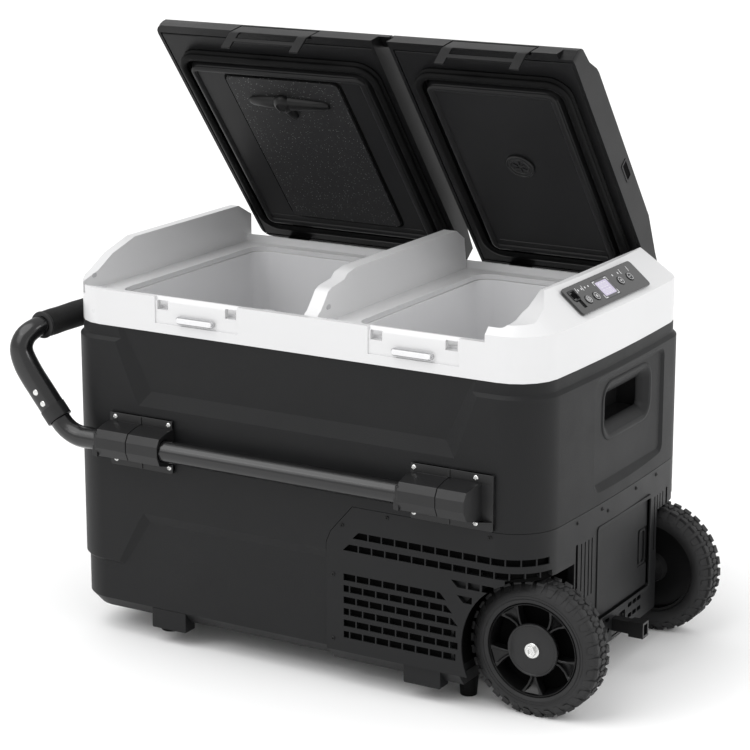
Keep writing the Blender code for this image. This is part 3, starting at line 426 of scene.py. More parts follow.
# CAD nodes, their finish and the width of the round on their edges.
DRESSED = (
    ("base_tray battery_door", CHARCOAL_FINE, 0.8), ("top_collar", WHITE, 1), ("insulation", INSULATION, 0),
    ("liner_left liner_right", WHITE_LINER, 0.8), ("lid_left_shell lid_right_shell", LID, 1),
    ("lid_left_panel lid_right_panel", LID_INNER, 1.2), ("latch_left latch_right", LID, 0.6), ("tray_cover", TRAY, 0.6),
    ("carry_pocket fan_frame fan_rotor battery_pack power_inlet tilt_bumper", BLACK, 0.6),
    ("display_panel", GLOSS, 0.4), ("display_glass", GLASS, 0), ("condenser", COPPER, 0),
    ("compressor rail_front rail_back", STEEL_BLACK, 0),
    ("control_board", BOARD, 0), ("axle hinge_rod_left hinge_rod_right", STEEL, 0),
    ("foot_front_left foot_back_left foot_front_right foot_back_right", RUBBER, 0.8),
)


def dress_frame():
    for names, material, width in DRESSED:
        for name in names.split():
            dress(name, material, width)
    for side, _ in SIDES:
        for part in ("left_outer", "left_inner", "right_inner", "right_outer"):
            dress(f"bracket_{side}_{part}", BRACKET, 0.7, 12)


# ---- shell

PANEL_DEPTH = 6.8
# How far the outline is drawn in, and its height.
SHELL_LEVELS = ((16, 30), (STEP, 43.6), (STEP, 90), (0, 94), (0, 362), (STEP, 366), (STEP, 378.9))
INSIDE_LEVELS = ((20, 35), (9, 55), (9, 500))
POCKET_HOLE = ((250, -34.5, 286.5), (FAR, 84.5, 342.5))
# Each recessed panel's floor, its outline in the face, and its depth.
LONG_PANELS = (
    (((-190, 307), (198, 307), (236, 390), (-234, 390)),
     ((-206, 287), (214, 287), (252, 390), (-250, 390)), PANEL_DEPTH),
    (((-236, 85), (-194, 148), (100, 148), (100, 85)),
     ((-244, 85), (-202, 162), (100, 162), (100, 85)), STEP),
)


def make_shell():
    """The moulded body with its stepped corners and recessed panels."""
    shell = loft("shell_moulding", [footprint(*level) for level in SHELL_LEVELS], CHARCOAL)
    end_panel = [
        (rounded(-60, 116, 236, 352, 6, 4, grow), HALF_LENGTH + out)
        for out, grow in ((1.5, 0), (11.5, 16))
    ]
    tools = [
        cutter([footprint(*level) for level in INSIDE_LEVELS]), y_cutter(bay_outline(0), -FAR, FAR),
        box_cutter(*POCKET_HOLE), cutter(stack(END_FACE, end_panel)),
    ]
    for _, side in SIDES:
        for floor, face, depth in LONG_PANELS:
            levels = ((floor, HALF_WIDTH - depth), (face, HALF_WIDTH + 1))
            tools.append(cutter([[(x, side * y, z) for x, z in line] for line, y in levels]))
    combine(shell, tools)
    shell.data.shade_smooth()
    ease(shell, 1.6, 2, 9.5)
    belong(shell, "cabinet", "main_shell")


# ---- vent cover

SLOT_PITCH, SLOT_WIDTH, SLOT_HEIGHT = 17, 15.4, 7.8
LOWER_START, LOWER_TOP_Z, ROW_PITCH = 72.5, 130.3, 13.6
COVER_BOTTOM_Z = 41.5
DOOR_HOLE = ((290, -52.5, 76.5), (FAR, 86, 183.5))
BUMPER_HOLE = ((290, -13, 0), (FAR, 23, 67))


def slot_cutter(shape, side, start, end, z, lean_start, lean_end):
    """Adds one grille slot's cutter, between two distances from the corner's start. lean tilts an end."""
    rings = []
    steps = 3
    for i in range(steps + 1):
        along = start + (end - start) * i / steps
        lean = lean_start * (1 - i / steps) + lean_end * i / steps
        ring = []
        for out, up in ((-6, -0.5), (4, -0.5), (4, 0.5), (-6, 0.5)):
            spot, normal = round_corner(side, along + lean * up)
            ring.append(spot + normal * out + Vector((0, 0, z + up * SLOT_HEIGHT)))
        rings.append(ring)
    add_loft(shape, rings)


def grille_rows():
    """Each slot's start, end, height and the lean of both, measured from the corner's start."""
    found = []

    def row_of(first, z, count, width, lean):
        for i in range(count):
            x = first + SLOT_PITCH * i
            found.append((x - CORNER_X, x + width - CORNER_X, z, 0 if i else lean, 0))

    row_of(88, 181, 14, SLOT_WIDTH, SLOT_HEIGHT)
    row_of(75.5, 165.5, 15, SLOT_WIDTH, SLOT_HEIGHT)
    for row, right in enumerate((199, 207, 214, 218, 218, 218)):
        x = LOWER_START - (SLOT_PITCH / 2 if row % 2 else 0)
        last_start = right - 4
        while x < last_start:
            start, end = max(x, LOWER_START), min(x + SLOT_WIDTH, right)
            lean = -SLOT_HEIGHT if row < 3 and x + SLOT_PITCH >= last_start else 0
            if end - start > 3:
                found.append((start - CORNER_X, end - CORNER_X, LOWER_TOP_Z - ROW_PITCH * row, 0, lean))
            x += SLOT_PITCH
    row_of(213, 147.9, 3, SLOT_WIDTH * 0.94, -SLOT_HEIGHT)
    row_of(220.5, 131.3, 1, SLOT_WIDTH * 0.94, -SLOT_HEIGHT)
    return found


def end_slots():
    """The tall slots of the wheel end and the small ones under the door: Y, low and high Z, and half width."""
    found = [(y, 121, 182, 2.5) for y in (-105.5, 140)]
    found += [(y, 114, 180, 1.2) for y in (-94.5, -85.8, -77, -69, 103, 111.2, 119.5, 128)]
    for y in (-38.5, -25.5, 36, 49, 62):
        found += [(y, z - 2.6, z + 2.6, 5.5) for z in (55.5, 68.5)]
    return found


def bay_outline(grow):
    x, top = BAY_X - grow, BAY_TOP_Z + grow
    return [(x, -100), (x, 168 + grow), (x + 6, 182 + grow), (x + 34, top), (FAR, top), (FAR, -100)]


def wheel_outline(outline):
    """An outline round the axle, in the world's X and Z."""
    return [(AXLE_X + a, AXLE_Z + b) for a, b in outline]


def make_vent_cover():
    cover = loft("vent_grille", [footprint(0, COVER_BOTTOM_Z), footprint(0, BAY_TOP_Z)], CHARCOAL_FINE)
    combine(cover, [y_cutter(bay_outline(-GAP), -FAR, FAR)], "INTERSECT")
    inside = cutter([footprint(SKIN, 0), footprint(SKIN, BAY_TOP_Z - SKIN)])
    wells = []
    for _, side in SIDES:
        y0, y1 = sorted((side * WELL_WALL_Y, side * 250))
        corner = (AXLE_X - WELL_RADIUS - 3, y0, -10)
        wells.append(box_cutter(corner, (FAR, y1, AXLE_Z + WELL_RADIUS + 3)))
    combine(inside, wells)
    tools = [inside]
    for _, side in SIDES:
        y_in, y_out, past = side * (WELL_WALL_Y + 3), side * (HALF_WIDTH - SKIN), side * 300
        arch = [(ARCH_REACH * a, ARCH_HEIGHT * b) for a, b in circle(1, 64)]
        y0, y1 = sorted((y_in, past))
        slots = bmesh.new()
        for slot in grille_rows():
            slot_cutter(slots, side, *slot)
        tools += [
            y_cutter(wheel_outline(circle(WELL_RADIUS, 64)), y_in, y_out), y_cutter(wheel_outline(arch), y_in, past),
            box_cutter((AXLE_X, y0, -10), (FAR, y1, AXLE_Z + ARCH_HEIGHT - 5)),
            box_cutter((AXLE_X - ARCH_REACH + 10, y0, -10), (FAR, y1, AXLE_Z)),
            y_cutter(wheel_outline(circle(6.4, 20)), side * 90, side * 130), add_piece("tool", slots, BLACK),
        ]
    ribs = [
        rounded(y - half, y + half, low, high, min(half, (high - low) / 2) * 0.8, 3)
        for y, low, high, half in end_slots()
    ]
    inlet = [(INLET_X + a, INLET_Z + b) for a, b in circle(11, 28)]
    tools += [
        box_cutter(*DOOR_HOLE), box_cutter(*BUMPER_HOLE), prisms("tool", ribs, 290, 340, END_FACE, BLACK),
        y_cutter(inlet, 180, 250),
    ]
    combine(cover, tools)
    cover.data.shade_smooth()
    cover.data.set_sharp_from_angle(angle=radians(30))
    ease(cover, 0.5, 1, 40)
    belong(cover, "cabinet", "vent_cover")


LINER_OUT, LINER_IN, LINER_Y, LINER_CORNER = 85.5, 84.5, 112.5, 46


def make_well_liners():
    """A curved lining over each wheel, and the wall behind it, both near black: painted shade in the wheel well."""
    for label, side in SIDES:
        start, end, steps = radians(82), radians(200), 40
        rings = []
        for i in range(steps + 1):
            turn = start + (end - start) * i / steps
            into_corner = max(AXLE_X + 85 * cos(turn) - CORNER_X, 0)
            reach = CORNER_Y + sqrt(max(LINER_CORNER**2 - into_corner**2, 0))
            section = ((LINER_IN, LINER_Y), (LINER_OUT, LINER_Y), (LINER_OUT, reach), (LINER_IN, reach))
            rings.append([on_wheel(side, radius, turn, out) for radius, out in section])
        loft(f"well_liner_{label}", rings, SHADE_BLACK, "cabinet")
        outline = wheel_outline([(min(a, 11.5), max(b, -34)) for a, b in circle(84, 60)])
        loft(f"well_wall_{label}", y_rings(outline, side * 111.5, side * 112.2), SHADE_BLACK, "cabinet")


def make_grille_shade_sheets():
    """Near black sheets right behind the grilles: painted shade inside the slots."""
    sheet_bands = (("upper", 158, 190, 345), ("lower", 50, 142, 206.5))
    start, steps = 58, 30
    for label, side in SIDES:
        for part, low, high, end in sheet_bands:
            rings = []
            for i in range(steps + 1):
                spot, normal = round_corner(side, start + (end - start) * i / steps - CORNER_X)
                section = ((5.8, low), (6.8, low), (6.8, high), (5.8, high))
                rings.append([spot - normal * inset + Vector((0, 0, z)) for inset, z in section])
            loft(f"grille_shade_sheet_{part}_{label}", rings, SHADE_BLACK, "cabinet")


# ---- wheels

TREAD_BLOCKS, TREAD_BASE = 34, 75.7
TYRE_MIDDLE, TYRE_HALF = (WHEEL_OUT + WHEEL_IN) / 2, (WHEEL_OUT - WHEEL_IN) / 2


def on_wheel(side, radius, turn, out):
    """A point round the axle. out is its distance from the cabinet's middle plane."""
    x, z = polar(radius, turn)
    return Vector((AXLE_X + x, side * out, AXLE_Z + z))


def curved_block(shape, outline, high, side):
    """Adds a tread block that narrows upwards. Its outline is (angle, distance from the middle plane)."""
    mid_a = sum(a for a, _ in outline) / len(outline)
    mid_y = sum(y for _, y in outline) / len(outline)
    rings = []
    for radius, shrink in ((TREAD_BASE - 1.5, 1), (high, 0.90)):
        rings.append([
            on_wheel(side, radius, mid_a + (angle - mid_a) * shrink, mid_y + (y - mid_y) * shrink)
            for angle, y in outline
        ])
    add_loft(shape, rings)


def edge_lug(shape, side, edge, turn, pitch, long_lug):
    """Adds a block at the tread's edge, and its foot down the tyre's wall."""
    inner = 6.5 if long_lug else 8.5
    outline = ((-0.36, TYRE_HALF - 6), (-0.30, inner), (0.10, inner - 1.5), (0.34, inner + 3), (0.36, TYRE_HALF - 6))
    curved_block(shape, [(turn + a * pitch, TYRE_MIDDLE + edge * d) for a, d in outline], WHEEL_RADIUS, side)
    rings = []
    for radius, drop, half in (
        (65.5 if long_lug else 68, 0.4, 0.22), (70, 2.8, 0.30), (74.2, 5.8, 0.34), (76.6, 8.8, 0.34),
    ):
        top = TYRE_HALF - drop
        rings.append([
            on_wheel(side, radius, turn + a * pitch, TYRE_MIDDLE + edge * d)
            for a, d in ((-half, top), (half, top), (half, top - 5), (-half, top - 5))
        ])
    add_loft(shape, rings)


def make_tyre(label, side):
    """The carcass, the rows of tread blocks and the lugs that run down the walls."""
    body = f"wheel_{label}"
    wall = [
        (RIM_RADIUS + 0.3, 5), (RIM_RADIUS + 1.2, 2.2), (56.5, 0.6), (62, 0),
        (66.5, 1.2), (70.5, 4), (TREAD_BASE - 0.8, 8.5), (TREAD_BASE, 12.5),
    ]
    profile = [(r, WHEEL_OUT - d) for r, d in wall] + [(r, WHEEL_IN + d) for r, d in reversed(wall)]
    place = facing((AXLE_X, 0, AXLE_Z), (0, side, 0))
    carcass = turned(f"tyre_carcass_{label}", profile, place, 96, TYRE, body)
    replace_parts(carcass, f"tyre_{label}")
    blocks = bmesh.new()
    pitch = tau / TREAD_BLOCKS
    middle_block = ((-0.20, -5.2), (0.02, -6.2), (0.20, -1), (0.18, 4), (-0.04, 5.8), (-0.22, 1.2))
    for i in range(TREAD_BLOCKS):
        edge_lug(blocks, side, 1, pitch * i, pitch, i % 2 == 0)
        edge_lug(blocks, side, -1, pitch * (i + 0.5), pitch, i % 2 == 0)
        for share, flip in ((0.25, -1), (0.75, 1)):
            outline = [(pitch * (i + share + a), TYRE_MIDDLE + flip * d) for a, d in middle_block]
            curved_block(blocks, outline, WHEEL_RADIUS - 0.2, side)
    ease(add_piece(f"tyre_tread_{label}", blocks, TYRE, body), 0.5, 1)
    for k, r in enumerate((58.5, 61.8)):
        section = ((-0.6, -1.2), (-0.4, 0.4), (0.4, 0.4), (0.6, -1.2))
        turned(f"tyre_bead_{label}_{k}", [(r + a, WHEEL_OUT + b) for a, b in section], place, 96, TYRE, body)


# Profiles from the wheel's outer face: radius and height. A spoke's rows are radius, share of the way out to the wide
# fork, half width, top and bottom. A web's are radius, half angle and top.
WHEEL_DEPTH = WHEEL_IN - WHEEL_OUT
BARREL = (
    (RIM_RADIUS, WHEEL_DEPTH + 5), (RIM_RADIUS, -3.8), (RIM_RADIUS - 0.5, -2.6), (51.8, -2.4),
    (51.2, -3.4), (50.8, -8), (50, -27), (12, -28),
    (12, -30), (49, -30), (49.8, WHEEL_DEPTH + 5),
)
HUB_CAP = (
    (6.4, WHEEL_DEPTH + 3), (17, WHEEL_DEPTH + 3), (20, -24), (28.5, -11), (30.2, -7),
    (30.2, -3.6), (29.4, -2.6), (28, -2.6), (27.4, -3.2), (26.2, -3.2),
    (25.6, -2.8), (9, -2.8), (6.4, -3.6),
)
DISC = ((12, -26.2), (49.9, -26.2), (49.9, -23.5), (12, -23.5))
WASHER = ((3, -3.2), (8.8, -3.2), (8.8, -1.8), (8.2, -1.2), (3, -1.2))
SPOKES, FORK_IN, FORK_OUT = 5, radians(4.5), radians(11.5)
SPOKE = (
    (27, 0, 1.6, -5, -20), (34, 0, 1.5, -6.2, -20), (42, 0.5, 1.6, -5.8, -18),
    (48.5, 1, 2, -4.2, -14), (51.3, 1, 3.4, -3.4, -12),
)
WEB = ((27, 0.060, -10.5), (40, 0.125, -10.5), (47, 0.185, -7.5), (51.2, 0.200, -3.6))


def make_spokes(label, place):
    """Five forked spokes, with a low web between a spoke's two arms."""
    spokes = bmesh.new()
    for i in range(SPOKES):
        middle = -pi / 2 + tau * i / SPOKES
        for fork in (-1, 1):
            rings = []
            for r, share, width, top, deep in SPOKE:
                turn = middle + fork * (FORK_IN + (FORK_OUT - FORK_IN) * share)
                x, y = polar(r, turn)
                tx, ty = -sin(turn) * width, cos(turn) * width
                low = top - 1.2
                section = ((-1, deep), (-1, low), (-0.55, top), (0.55, top), (1, low), (1, deep))
                rings.append([place @ Vector((x + tx * across, y + ty * across, height)) for across, height in section])
            add_loft(spokes, rings)
        rings = []
        for r, reach, top in WEB:
            section = ((-reach, -20), (-reach, top), (reach, top), (reach, -20))
            rings.append([place @ Vector((*polar(r, middle + turn), height)) for turn, height in section])
        add_loft(spokes, rings)
    ease(add_piece(f"rim_spokes_{label}", spokes, RIM, f"wheel_{label}"), 0.7, 2, 25)


def make_rim(label, side):
    """The rim with its spokes, hub cap and axle bolt."""
    body = f"wheel_{label}"
    place = facing((AXLE_X, side * WHEEL_OUT, AXLE_Z), (0, side, 0))
    barrel = turned(f"rim_barrel_{label}", BARREL, place, 96, RIM, body)
    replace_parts(barrel, f"rim_{label}")
    turned(f"hub_cap_{label}", HUB_CAP, place, 80, BRACKET, body)
    make_spokes(label, place)
    # The disc behind the spokes is near black: painted shade in the rim's pockets.
    turned(f"rim_back_{label}", DISC, place, 64, SHADE_BLACK, body)
    turned(f"hub_bolt_washer_{label}", WASHER, place, 40, STEEL, "cabinet")
    hexagon, socket = circle(6.4, 6), circle(3, 6)
    head = loft(f"hub_bolt_{label}", stack(place, ((hexagon, -2), (hexagon, 2.6))), STEEL)
    combine(head, [cutter(stack(place, ((socket, 0.6), (socket, 6))))])
    ease(head, 0.5, 2)
    belong(head, "cabinet", f"axle_bolt_{label}")


# ---- handle and brackets

RAIL_BEND_X, RAIL_BEND_RADIUS, RAIL_BEND = -269, 42.3, radians(50.5)
ARM_OVERLAP, ARM_SIDE = 6.4, 11.6
GRIP_HALF, GRIP_RADIUS, GRIP_EDGE = 193, 15.6, 3
# The arm from its straight part to the grip: X, distance in from the rail, and Z.
ARM_BEND = (
    (-350.5, 0, 324.5), (-356.5, 0, 338.5), (-356.8, 1.5, 349), (-353.5, 6, 358.5),
    (-349, 14, 364.3), (-346, 24, 367), (GRIP_X, 40, GRIP_Z),
)
RIVET = ((0.3, -1), (3.6, -1), (3.6, 0.6), (3, 1.3), (1.4, 1.7), (0.3, 1.8))
SNAP = ((0.3, -1), (5, -1), (5, 0.8), (4.3, 1.8), (2, 2.4), (0.3, 2.4))
GRIP_END = ((11, -2), (GRIP_RADIUS, -1), (16.4, 0.6), (16.1, 2), (14.6, 2.7), (11, 2.7))


def sweep(name, path, widths, depths, material, power, across=Vector((0, 1, 0))):
    """A piece of the handle with a rounded-box section, along a path. Its depth is its size along across.

    Half sizes are given at the start and past the taper. power squares the section: 2 is an ellipse.
    """
    sides, taper_start, taper_length = 24, 0.5, 0.35
    rings = []
    last = (path[1] - path[0]).normalized()
    for i, point in enumerate(path):
        ahead, behind = path[min(i + 1, len(path) - 1)], path[max(i - 1, 0)]
        along = (ahead - behind).normalized()
        across = last.rotation_difference(along) @ across
        last = along
        in_plane = across.cross(along).normalized()
        taper = min(max(i / (len(path) - 1) - taper_start, 0) / taper_length, 1)
        width, depth = (first + (last_size - first) * taper for first, last_size in (widths, depths))
        ring = []
        for k in range(sides):
            a, b = (copysign(abs(c) ** (2 / power), c) for c in polar(1, tau * k / sides))
            ring.append(point + in_plane * (width * a) + across * (depth * b))
        rings.append(ring)
    return loft(name, rings, material, "handle", smooth=60)


def through(points, spacing):
    """A smooth line through the points."""
    line = [Vector(p) for p in points]
    line = [2 * line[0] - line[1], *line, 2 * line[-1] - line[-2]]
    found = []
    for a, b, c, d in zip(line, line[1:], line[2:], line[3:]):
        steps = max(1, round((c - b).length / spacing))
        for i in range(steps):
            t = i / steps
            square, cube = 2 * a - 5 * b + 4 * c - d, 3 * b - a - 3 * c + d
            found.append(0.5 * (2 * b + (c - a) * t + square * t**2 + cube * t**3))
    return [*found, line[-2]]


def make_arms():
    """The handle's arms, each with the collar where its rail enters."""
    slope = Vector((-cos(RAIL_BEND), 0, sin(RAIL_BEND)))
    end = Vector((
        RAIL_BEND_X - RAIL_BEND_RADIUS * sin(RAIL_BEND), 0, RAIL_Z + RAIL_BEND_RADIUS * (1 - cos(RAIL_BEND)),
    ))
    end += slope * ARM_OVERLAP

    for label, side in SIDES:
        start = end + Vector((0, side * RAIL_Y, 0))
        straight = [start + slope * along for along in (0, 20, 40, 56)]
        path = through([*straight, *[(x, side * (RAIL_Y - inwards), z) for x, inwards, z in ARM_BEND]], 3.5)
        sweep(f"handle_arm_{label}", path, (14.8, 10.8), (12, 10.8), STEEL_BLACK, 2.7)
        sleeve = [start + slope * (k - 4) for k in range(18)]
        sweep(f"handle_sleeve_{label}", sleeve, (15.2, 15.2), (13.4, 13.4), BRACKET, 2.6)
        for k, along in enumerate((20, 36)):
            spot = start + slope * along + Vector((0, side * ARM_SIDE, 0))
            turned(f"handle_rivet_{label}_{k}", RIVET, facing(spot, (0, side, 0)), 24, STEEL, "handle")
        spot = start + slope * 30 - Vector((0, side * ARM_SIDE, 0))
        turned(f"handle_snap_{label}", SNAP, facing(spot, (0, -side, 0)), 28, STEEL, "handle")


def make_grip():
    """The bar between the arms, its foam grip and the grip's end rings."""
    reach, steps = RAIL_Y - 36, 40
    line = [Vector((GRIP_X, -reach + 2 * reach * k / steps, GRIP_Z)) for k in range(steps + 1)]
    bar = sweep("handle_bar", line, (10.6, 10.6), (10.6, 10.6), STEEL_BLACK, 2.0, Vector((0, 0, 1)))
    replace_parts(bar, "handle_bow")
    inner, waves = 11.3, 24
    rim = [polar(GRIP_EDGE, radians(turn)) for turn in range(0, 91, 15)]
    rim = [(GRIP_RADIUS - GRIP_EDGE + rise, GRIP_EDGE - run) for run, rise in rim]
    profile = [(inner, -GRIP_HALF), *[(r, -GRIP_HALF + depth) for r, depth in rim]]
    for k in range(1, waves):
        y = -GRIP_HALF + GRIP_EDGE + 2 * (GRIP_HALF - GRIP_EDGE) * k / waves
        profile.append((15.7 + 0.22 * sin(k * 2.1), y))
    profile += [*[(r, GRIP_HALF - depth) for r, depth in reversed(rim)], (inner, GRIP_HALF)]
    grip = turned("foam_grip", profile, facing((GRIP_X, 0, GRIP_Z), (0, 1, 0)), 48, FOAM, "handle")
    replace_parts(grip, "handle_grip")
    for label, side in SIDES:
        place = facing((GRIP_X, side * GRIP_HALF, GRIP_Z), (0, side, 0))
        turned(f"grip_end_{label}", GRIP_END, place, 40, BRACKET, "handle")


# Each bracket's flange from X to X, its rib's X and its screws' X.
BRACKETS = (("left", -242, -154.5, -198.5, (-234, -159)), ("right", 160.5, 262, 208, (165, 241)))
RAIL_ENTRIES = (("left", -244), ("right", 158.5))
# Each flange's low and high edge and its screws' height, from the rail's axis.
FLANGES = (("top", 20.5, 31, 26.2), ("bottom", -32.2, -20.5, -25))
FLANGE_TOP = 4.6
TONGUE = ((-3, -15), (3.5, -16.5), (3.5, 12), (-1, 12), (-1, -2), (-3, -4))


def make_bracket_details():
    """The rail brackets' flanges, ribs, screws and guide tongues."""
    for label, side in SIDES:
        for part, x0, x1, middle, screws in BRACKETS:
            for edge, z0, z1, screw_z in FLANGES:
                left, right = sorted((-side * x0, -side * x1))
                name = f"{label}_{part}_{edge}"
                outline = rounded(left, right, z0, z1, 2.2, 3)
                plate(f"bracket_flange_{name}", outline, 0.2, FLANGE_TOP, outwards(side, 0, RAIL_Z), BLACK, edge=0.5)
                rib = rounded(-1.6, 1.6, z0 + 0.8, z1 - 0.8, 0.6, 2)
                plate(f"bracket_rib_{name}", rib, 3, 5.6, outwards(side, middle, RAIL_Z), BRACKET, edge=0.3)
                for k, x in enumerate(screws):
                    place = outwards(side, x, RAIL_Z + screw_z, FLANGE_TOP)
                    screw(f"bracket_screw_{name}_{k}", place, 2.9, STEEL)
        for part, entry in RAIL_ENTRIES:
            place = outwards(side, entry, RAIL_Z)
            plate(f"bracket_tongue_{label}_{part}", TONGUE, 30, 33.8, place, BRACKET, edge=0.6)


# ---- lids

# Sections round a plug: distance out from the mouth, and height over the lid's underside or the plug.
SEAL = (
    (7.2, 0), (7.4, -2), (5.2, -3.6), (5, -5.2), (7, -7), (7.4, -9.6), (6, -11.6), (3, -12.6),
    (-0.4, -11.8), (-2.2, -9.6), (-1.4, -6.8), (0.8, -5.2), (0.8, -3.6), (-1.4, -2), (-1.6, 0),
)
BEAD = ((-9.2, 1), (-9.4, -1), (-10.6, -2.4), (-12.8, -3), (-15.2, -2.7), (-16.8, -1.4), (-18, 1))
RIB = ((-1.6, 0.6), (-0.8, -0.9), (0.8, -0.9), (1.6, 0.6))


def ring_piece(name, mouth, section, base, material, body):
    """A ring round a compartment's plug, drawn with the lid closed."""
    levels = [(rounded(*mouth, MOUTH_FRONT, MOUTH_BACK, 20, 8, grow), base + up) for grow, up in section]
    return loft(name, stack(OPEN, levels), material, body, closed=True, smooth=50)


def make_lid_details():
    for side, mouth in (("left", LEFT_MOUTH), ("right", RIGHT_MOUTH)):
        body = f"lid_{side}"
        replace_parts(ring_piece(f"door_seal_{side}", mouth, SEAL, LID_UNDER_Z, RUBBER, body), f"lid_{side}_gasket")
        ring_piece(f"plug_bead_{side}", mouth, BEAD, PLUG_Z, LID_INNER, body)
        left, right, y = mouth[0] + 22, mouth[1] - 22, MOUTH_BACK - 26
        line = [[OPEN @ Vector((x, y + a, PLUG_Z + b)) for a, b in RIB] for x in (left, (left + right) / 2, right)]
        loft(f"plug_rib_{side}", line, LID_INNER, body)


TRAY_BOX = (-209, -53, -130, 118.5)
TRAY_FACE_Z = PLUG_Z - 3.5
KNOB_X, KNOB_Y = -139, -93
# Each wing's direction, reach, and half width at the middle and at the tip.
WINGS = ((radians(180), 47, 10.5, 6.6), (0, 63, 10.5, 6), (radians(72), 26, 10, 4.5))
DOME = (
    (0.3, 0), (12.8, 0), (12.8, 3.4), (11.8, 5.6), (9.2, 8.2), (6.6, 9.2),
    (6, 8), (0.3, 8),
)
VENT_DISC = (
    (0.3, 0.4), (17.6, 0.4), (17.6, 2.4), (16.8, 3.3), (15.6, 3.3), (15, 2.2),
    (12.2, 2.2), (11.6, 3), (10.8, 3), (10.2, 2), (0.3, 2),
)


def under_lid(x, y, z):
    """A place on an open lid's underside, with its Z out of the lid."""
    return OPEN @ Matrix.Translation((x, y, z)) @ Matrix.Rotation(pi, 4, "X")


def make_tray_details():
    """The channel round the tray's cover, near black as painted shade in the gap, and its three-winged knob."""
    levels = [
        (rounded(*TRAY_BOX, 8, grow=grow), PLUG_Z + up)
        for grow, up in ((0.8, 0.2), (0.8, -0.6), (3.4, -0.6), (4, 0.2))
    ]
    loft("tray_channel", stack(OPEN, levels), SHADE_BLACK, "lid_left", closed=True)
    section = ((-1, 0), (-0.92, 0.5), (-0.55, 0.9), (0, 1), (0.55, 0.9), (0.92, 0.5), (1, 0))
    shape = bmesh.new()
    for turn, reach, wide, tip in WINGS:
        rings = []
        for share, height in ((0, 7.8), (0.30, 7), (0.62, 6), (0.90, 5), (1, 3.4)):
            half = (wide + (tip - wide) * share) * (0.6 if share == 1 else 1)
            x, y = polar(reach * share, turn)
            nx, ny = -sin(turn) * half, cos(turn) * half
            rings.append([
                OPEN @ Vector((KNOB_X + x + nx * across, KNOB_Y + y + ny * across, TRAY_FACE_Z - down * height))
                for across, down in section
            ])
        add_loft(shape, rings)
    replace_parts(add_piece("knob_wings", shape, KNOB, "tray_knob", smooth=50), "tray_knob")
    turned("knob_dome", DOME, under_lid(KNOB_X, KNOB_Y, TRAY_FACE_Z), 40, KNOB, "tray_knob")


def make_vent_plug():
    place = under_lid(151, -16.5, PLUG_Z)
    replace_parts(turned("vent_disc", VENT_DISC, place, 56, BLACK, "lid_right"), "lid_vent_plug")
    ticks = bmesh.new()
    for i in range(6):
        outline = rounded(-0.9, 0.9, 3, 9, 0.6, 2)
        add_prism(ticks, outline, 1.6, 2.9, place @ Matrix.Rotation(pi / 3 * i, 4, "Z"))
    add_piece("vent_disc_ticks", ticks, BLACK, "lid_right")


def make_side_slot():
    """The framed pocket in the right lid's end face."""
    place = OPEN @ Matrix.Translation((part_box("lid_right_shell")[1].x / MM, 0, 0)) @ END_FACE
    outer, inner = rounded(2, 30, 440, 454.5, 2, 3), rounded(4.5, 27.5, 442.5, 452, 1, 3)
    framed("side_slot_frame", outer, inner, -1, 0.6, place, LID, "lid_right")
    # The floor is near black: painted shade in the pocket.
    plate("side_slot_floor", inner, -0.8, 0.15, place, SHADE_BLACK, "lid_right")


# ---- collar and control panel


def make_collar_details():
    """Clips on the walls, the bars that the latches hook under, and the lids' stops."""
    for wall, x in (("ridge", 29.2), ("left", -293.8)):
        place = Matrix.Translation((x, -158, 426.5)) @ Matrix.Rotation(pi / 2, 4, "Y")
        outline = rounded(-2.6, 2.6, -4, 4, 2.2, 4)
        plate(f"lid_clip_{wall}", outline, -0.6, 0.8, place, GREY_CLIP_AND_GROOVE_SHADE, edge=0.5)
    for label, centre in LATCH_X:
        place = outwards(-1, centre, 397.8, -0.8)
        bar = rounded(-24, 24, -3, 3, 2.6, 5)
        plate(f"catch_bar_{label}", bar, 0, 2.4, place, CATCH, edge=0.7)
        # A grey frame round each bar: painted shade in the groove above and below it.
        edges = [rounded(-24.7, 24.7, -3.7, 3.7, 3.2, 5, grow) for grow in (0, 0.7)]
        framed(f"catch_groove_shade_{label}", *edges, -3, 0.1, place, GREY_CLIP_AND_GROOVE_SHADE)
    stop = rounded(-7, 7, -1.6, 1.6, 1.4, 3)
    for k, x in enumerate((-262, -30, 52, 246)):
        plate(f"rim_stop_{k}", stop, 0, 1, Matrix.Translation((x, -187.2, 421.2)), GREY_CLIP_AND_GROOVE_SHADE, edge=0.3)


def slope_frame():
    """The control panel's plane: X down the slope, Y along the world's Y, and Z out of it."""
    low = Vector((HALF_LENGTH - STEP + END_BOW, 0, 430))
    high = Vector((HALF_LENGTH - 44 + END_BOW, 0, 463.5))
    down = (low - high).normalized()
    across = Vector((0, 1, 0))
    return Matrix.Translation((low + high) / 2) @ Matrix((down, across, down.cross(across))).transposed().to_4x4()


PANEL = slope_frame()
PANEL_FACE = 3
BUTTONS = {"button_power": (5, -55), "button_set": (5, -35), "button_plus": (0, 36), "button_minus": (0, 60)}
BUTTON_RADIUS = 5.4
# A button's levels: share of its radius, and height over the panel's face.
KEY = ((1, -1.6), (1, 0.4), (0.93, 0.9), (0.80, 1), (0.45, 1))
# The lines of each button's mark, inside its ring: two ends and half a width.
ICONS = {
    "button_power": [(0, 0, 2.8, 0, 0.32)],
    "button_set": [(-1.8, dy, 1.8, dy, 0.28) for dy in (-1.2, 0, 1.2)],
    "button_plus": [(0, -2, 0, 2, 0.32), (-2, 0, 2, 0, 0.32)],
    "button_minus": [(0, -2, 0, 2, 0.32)],
}
DOTS = ((-10, -58), (-10, -50), (-10, -41), (-10, -33), (-10, 30), (-10, 44))
SEGMENTS = ((-3, -2, 3, -2), (-3, 2, 3, 2), (-3, -1.6, -3, 1.6), (3, -1.6, 3, 1.6))


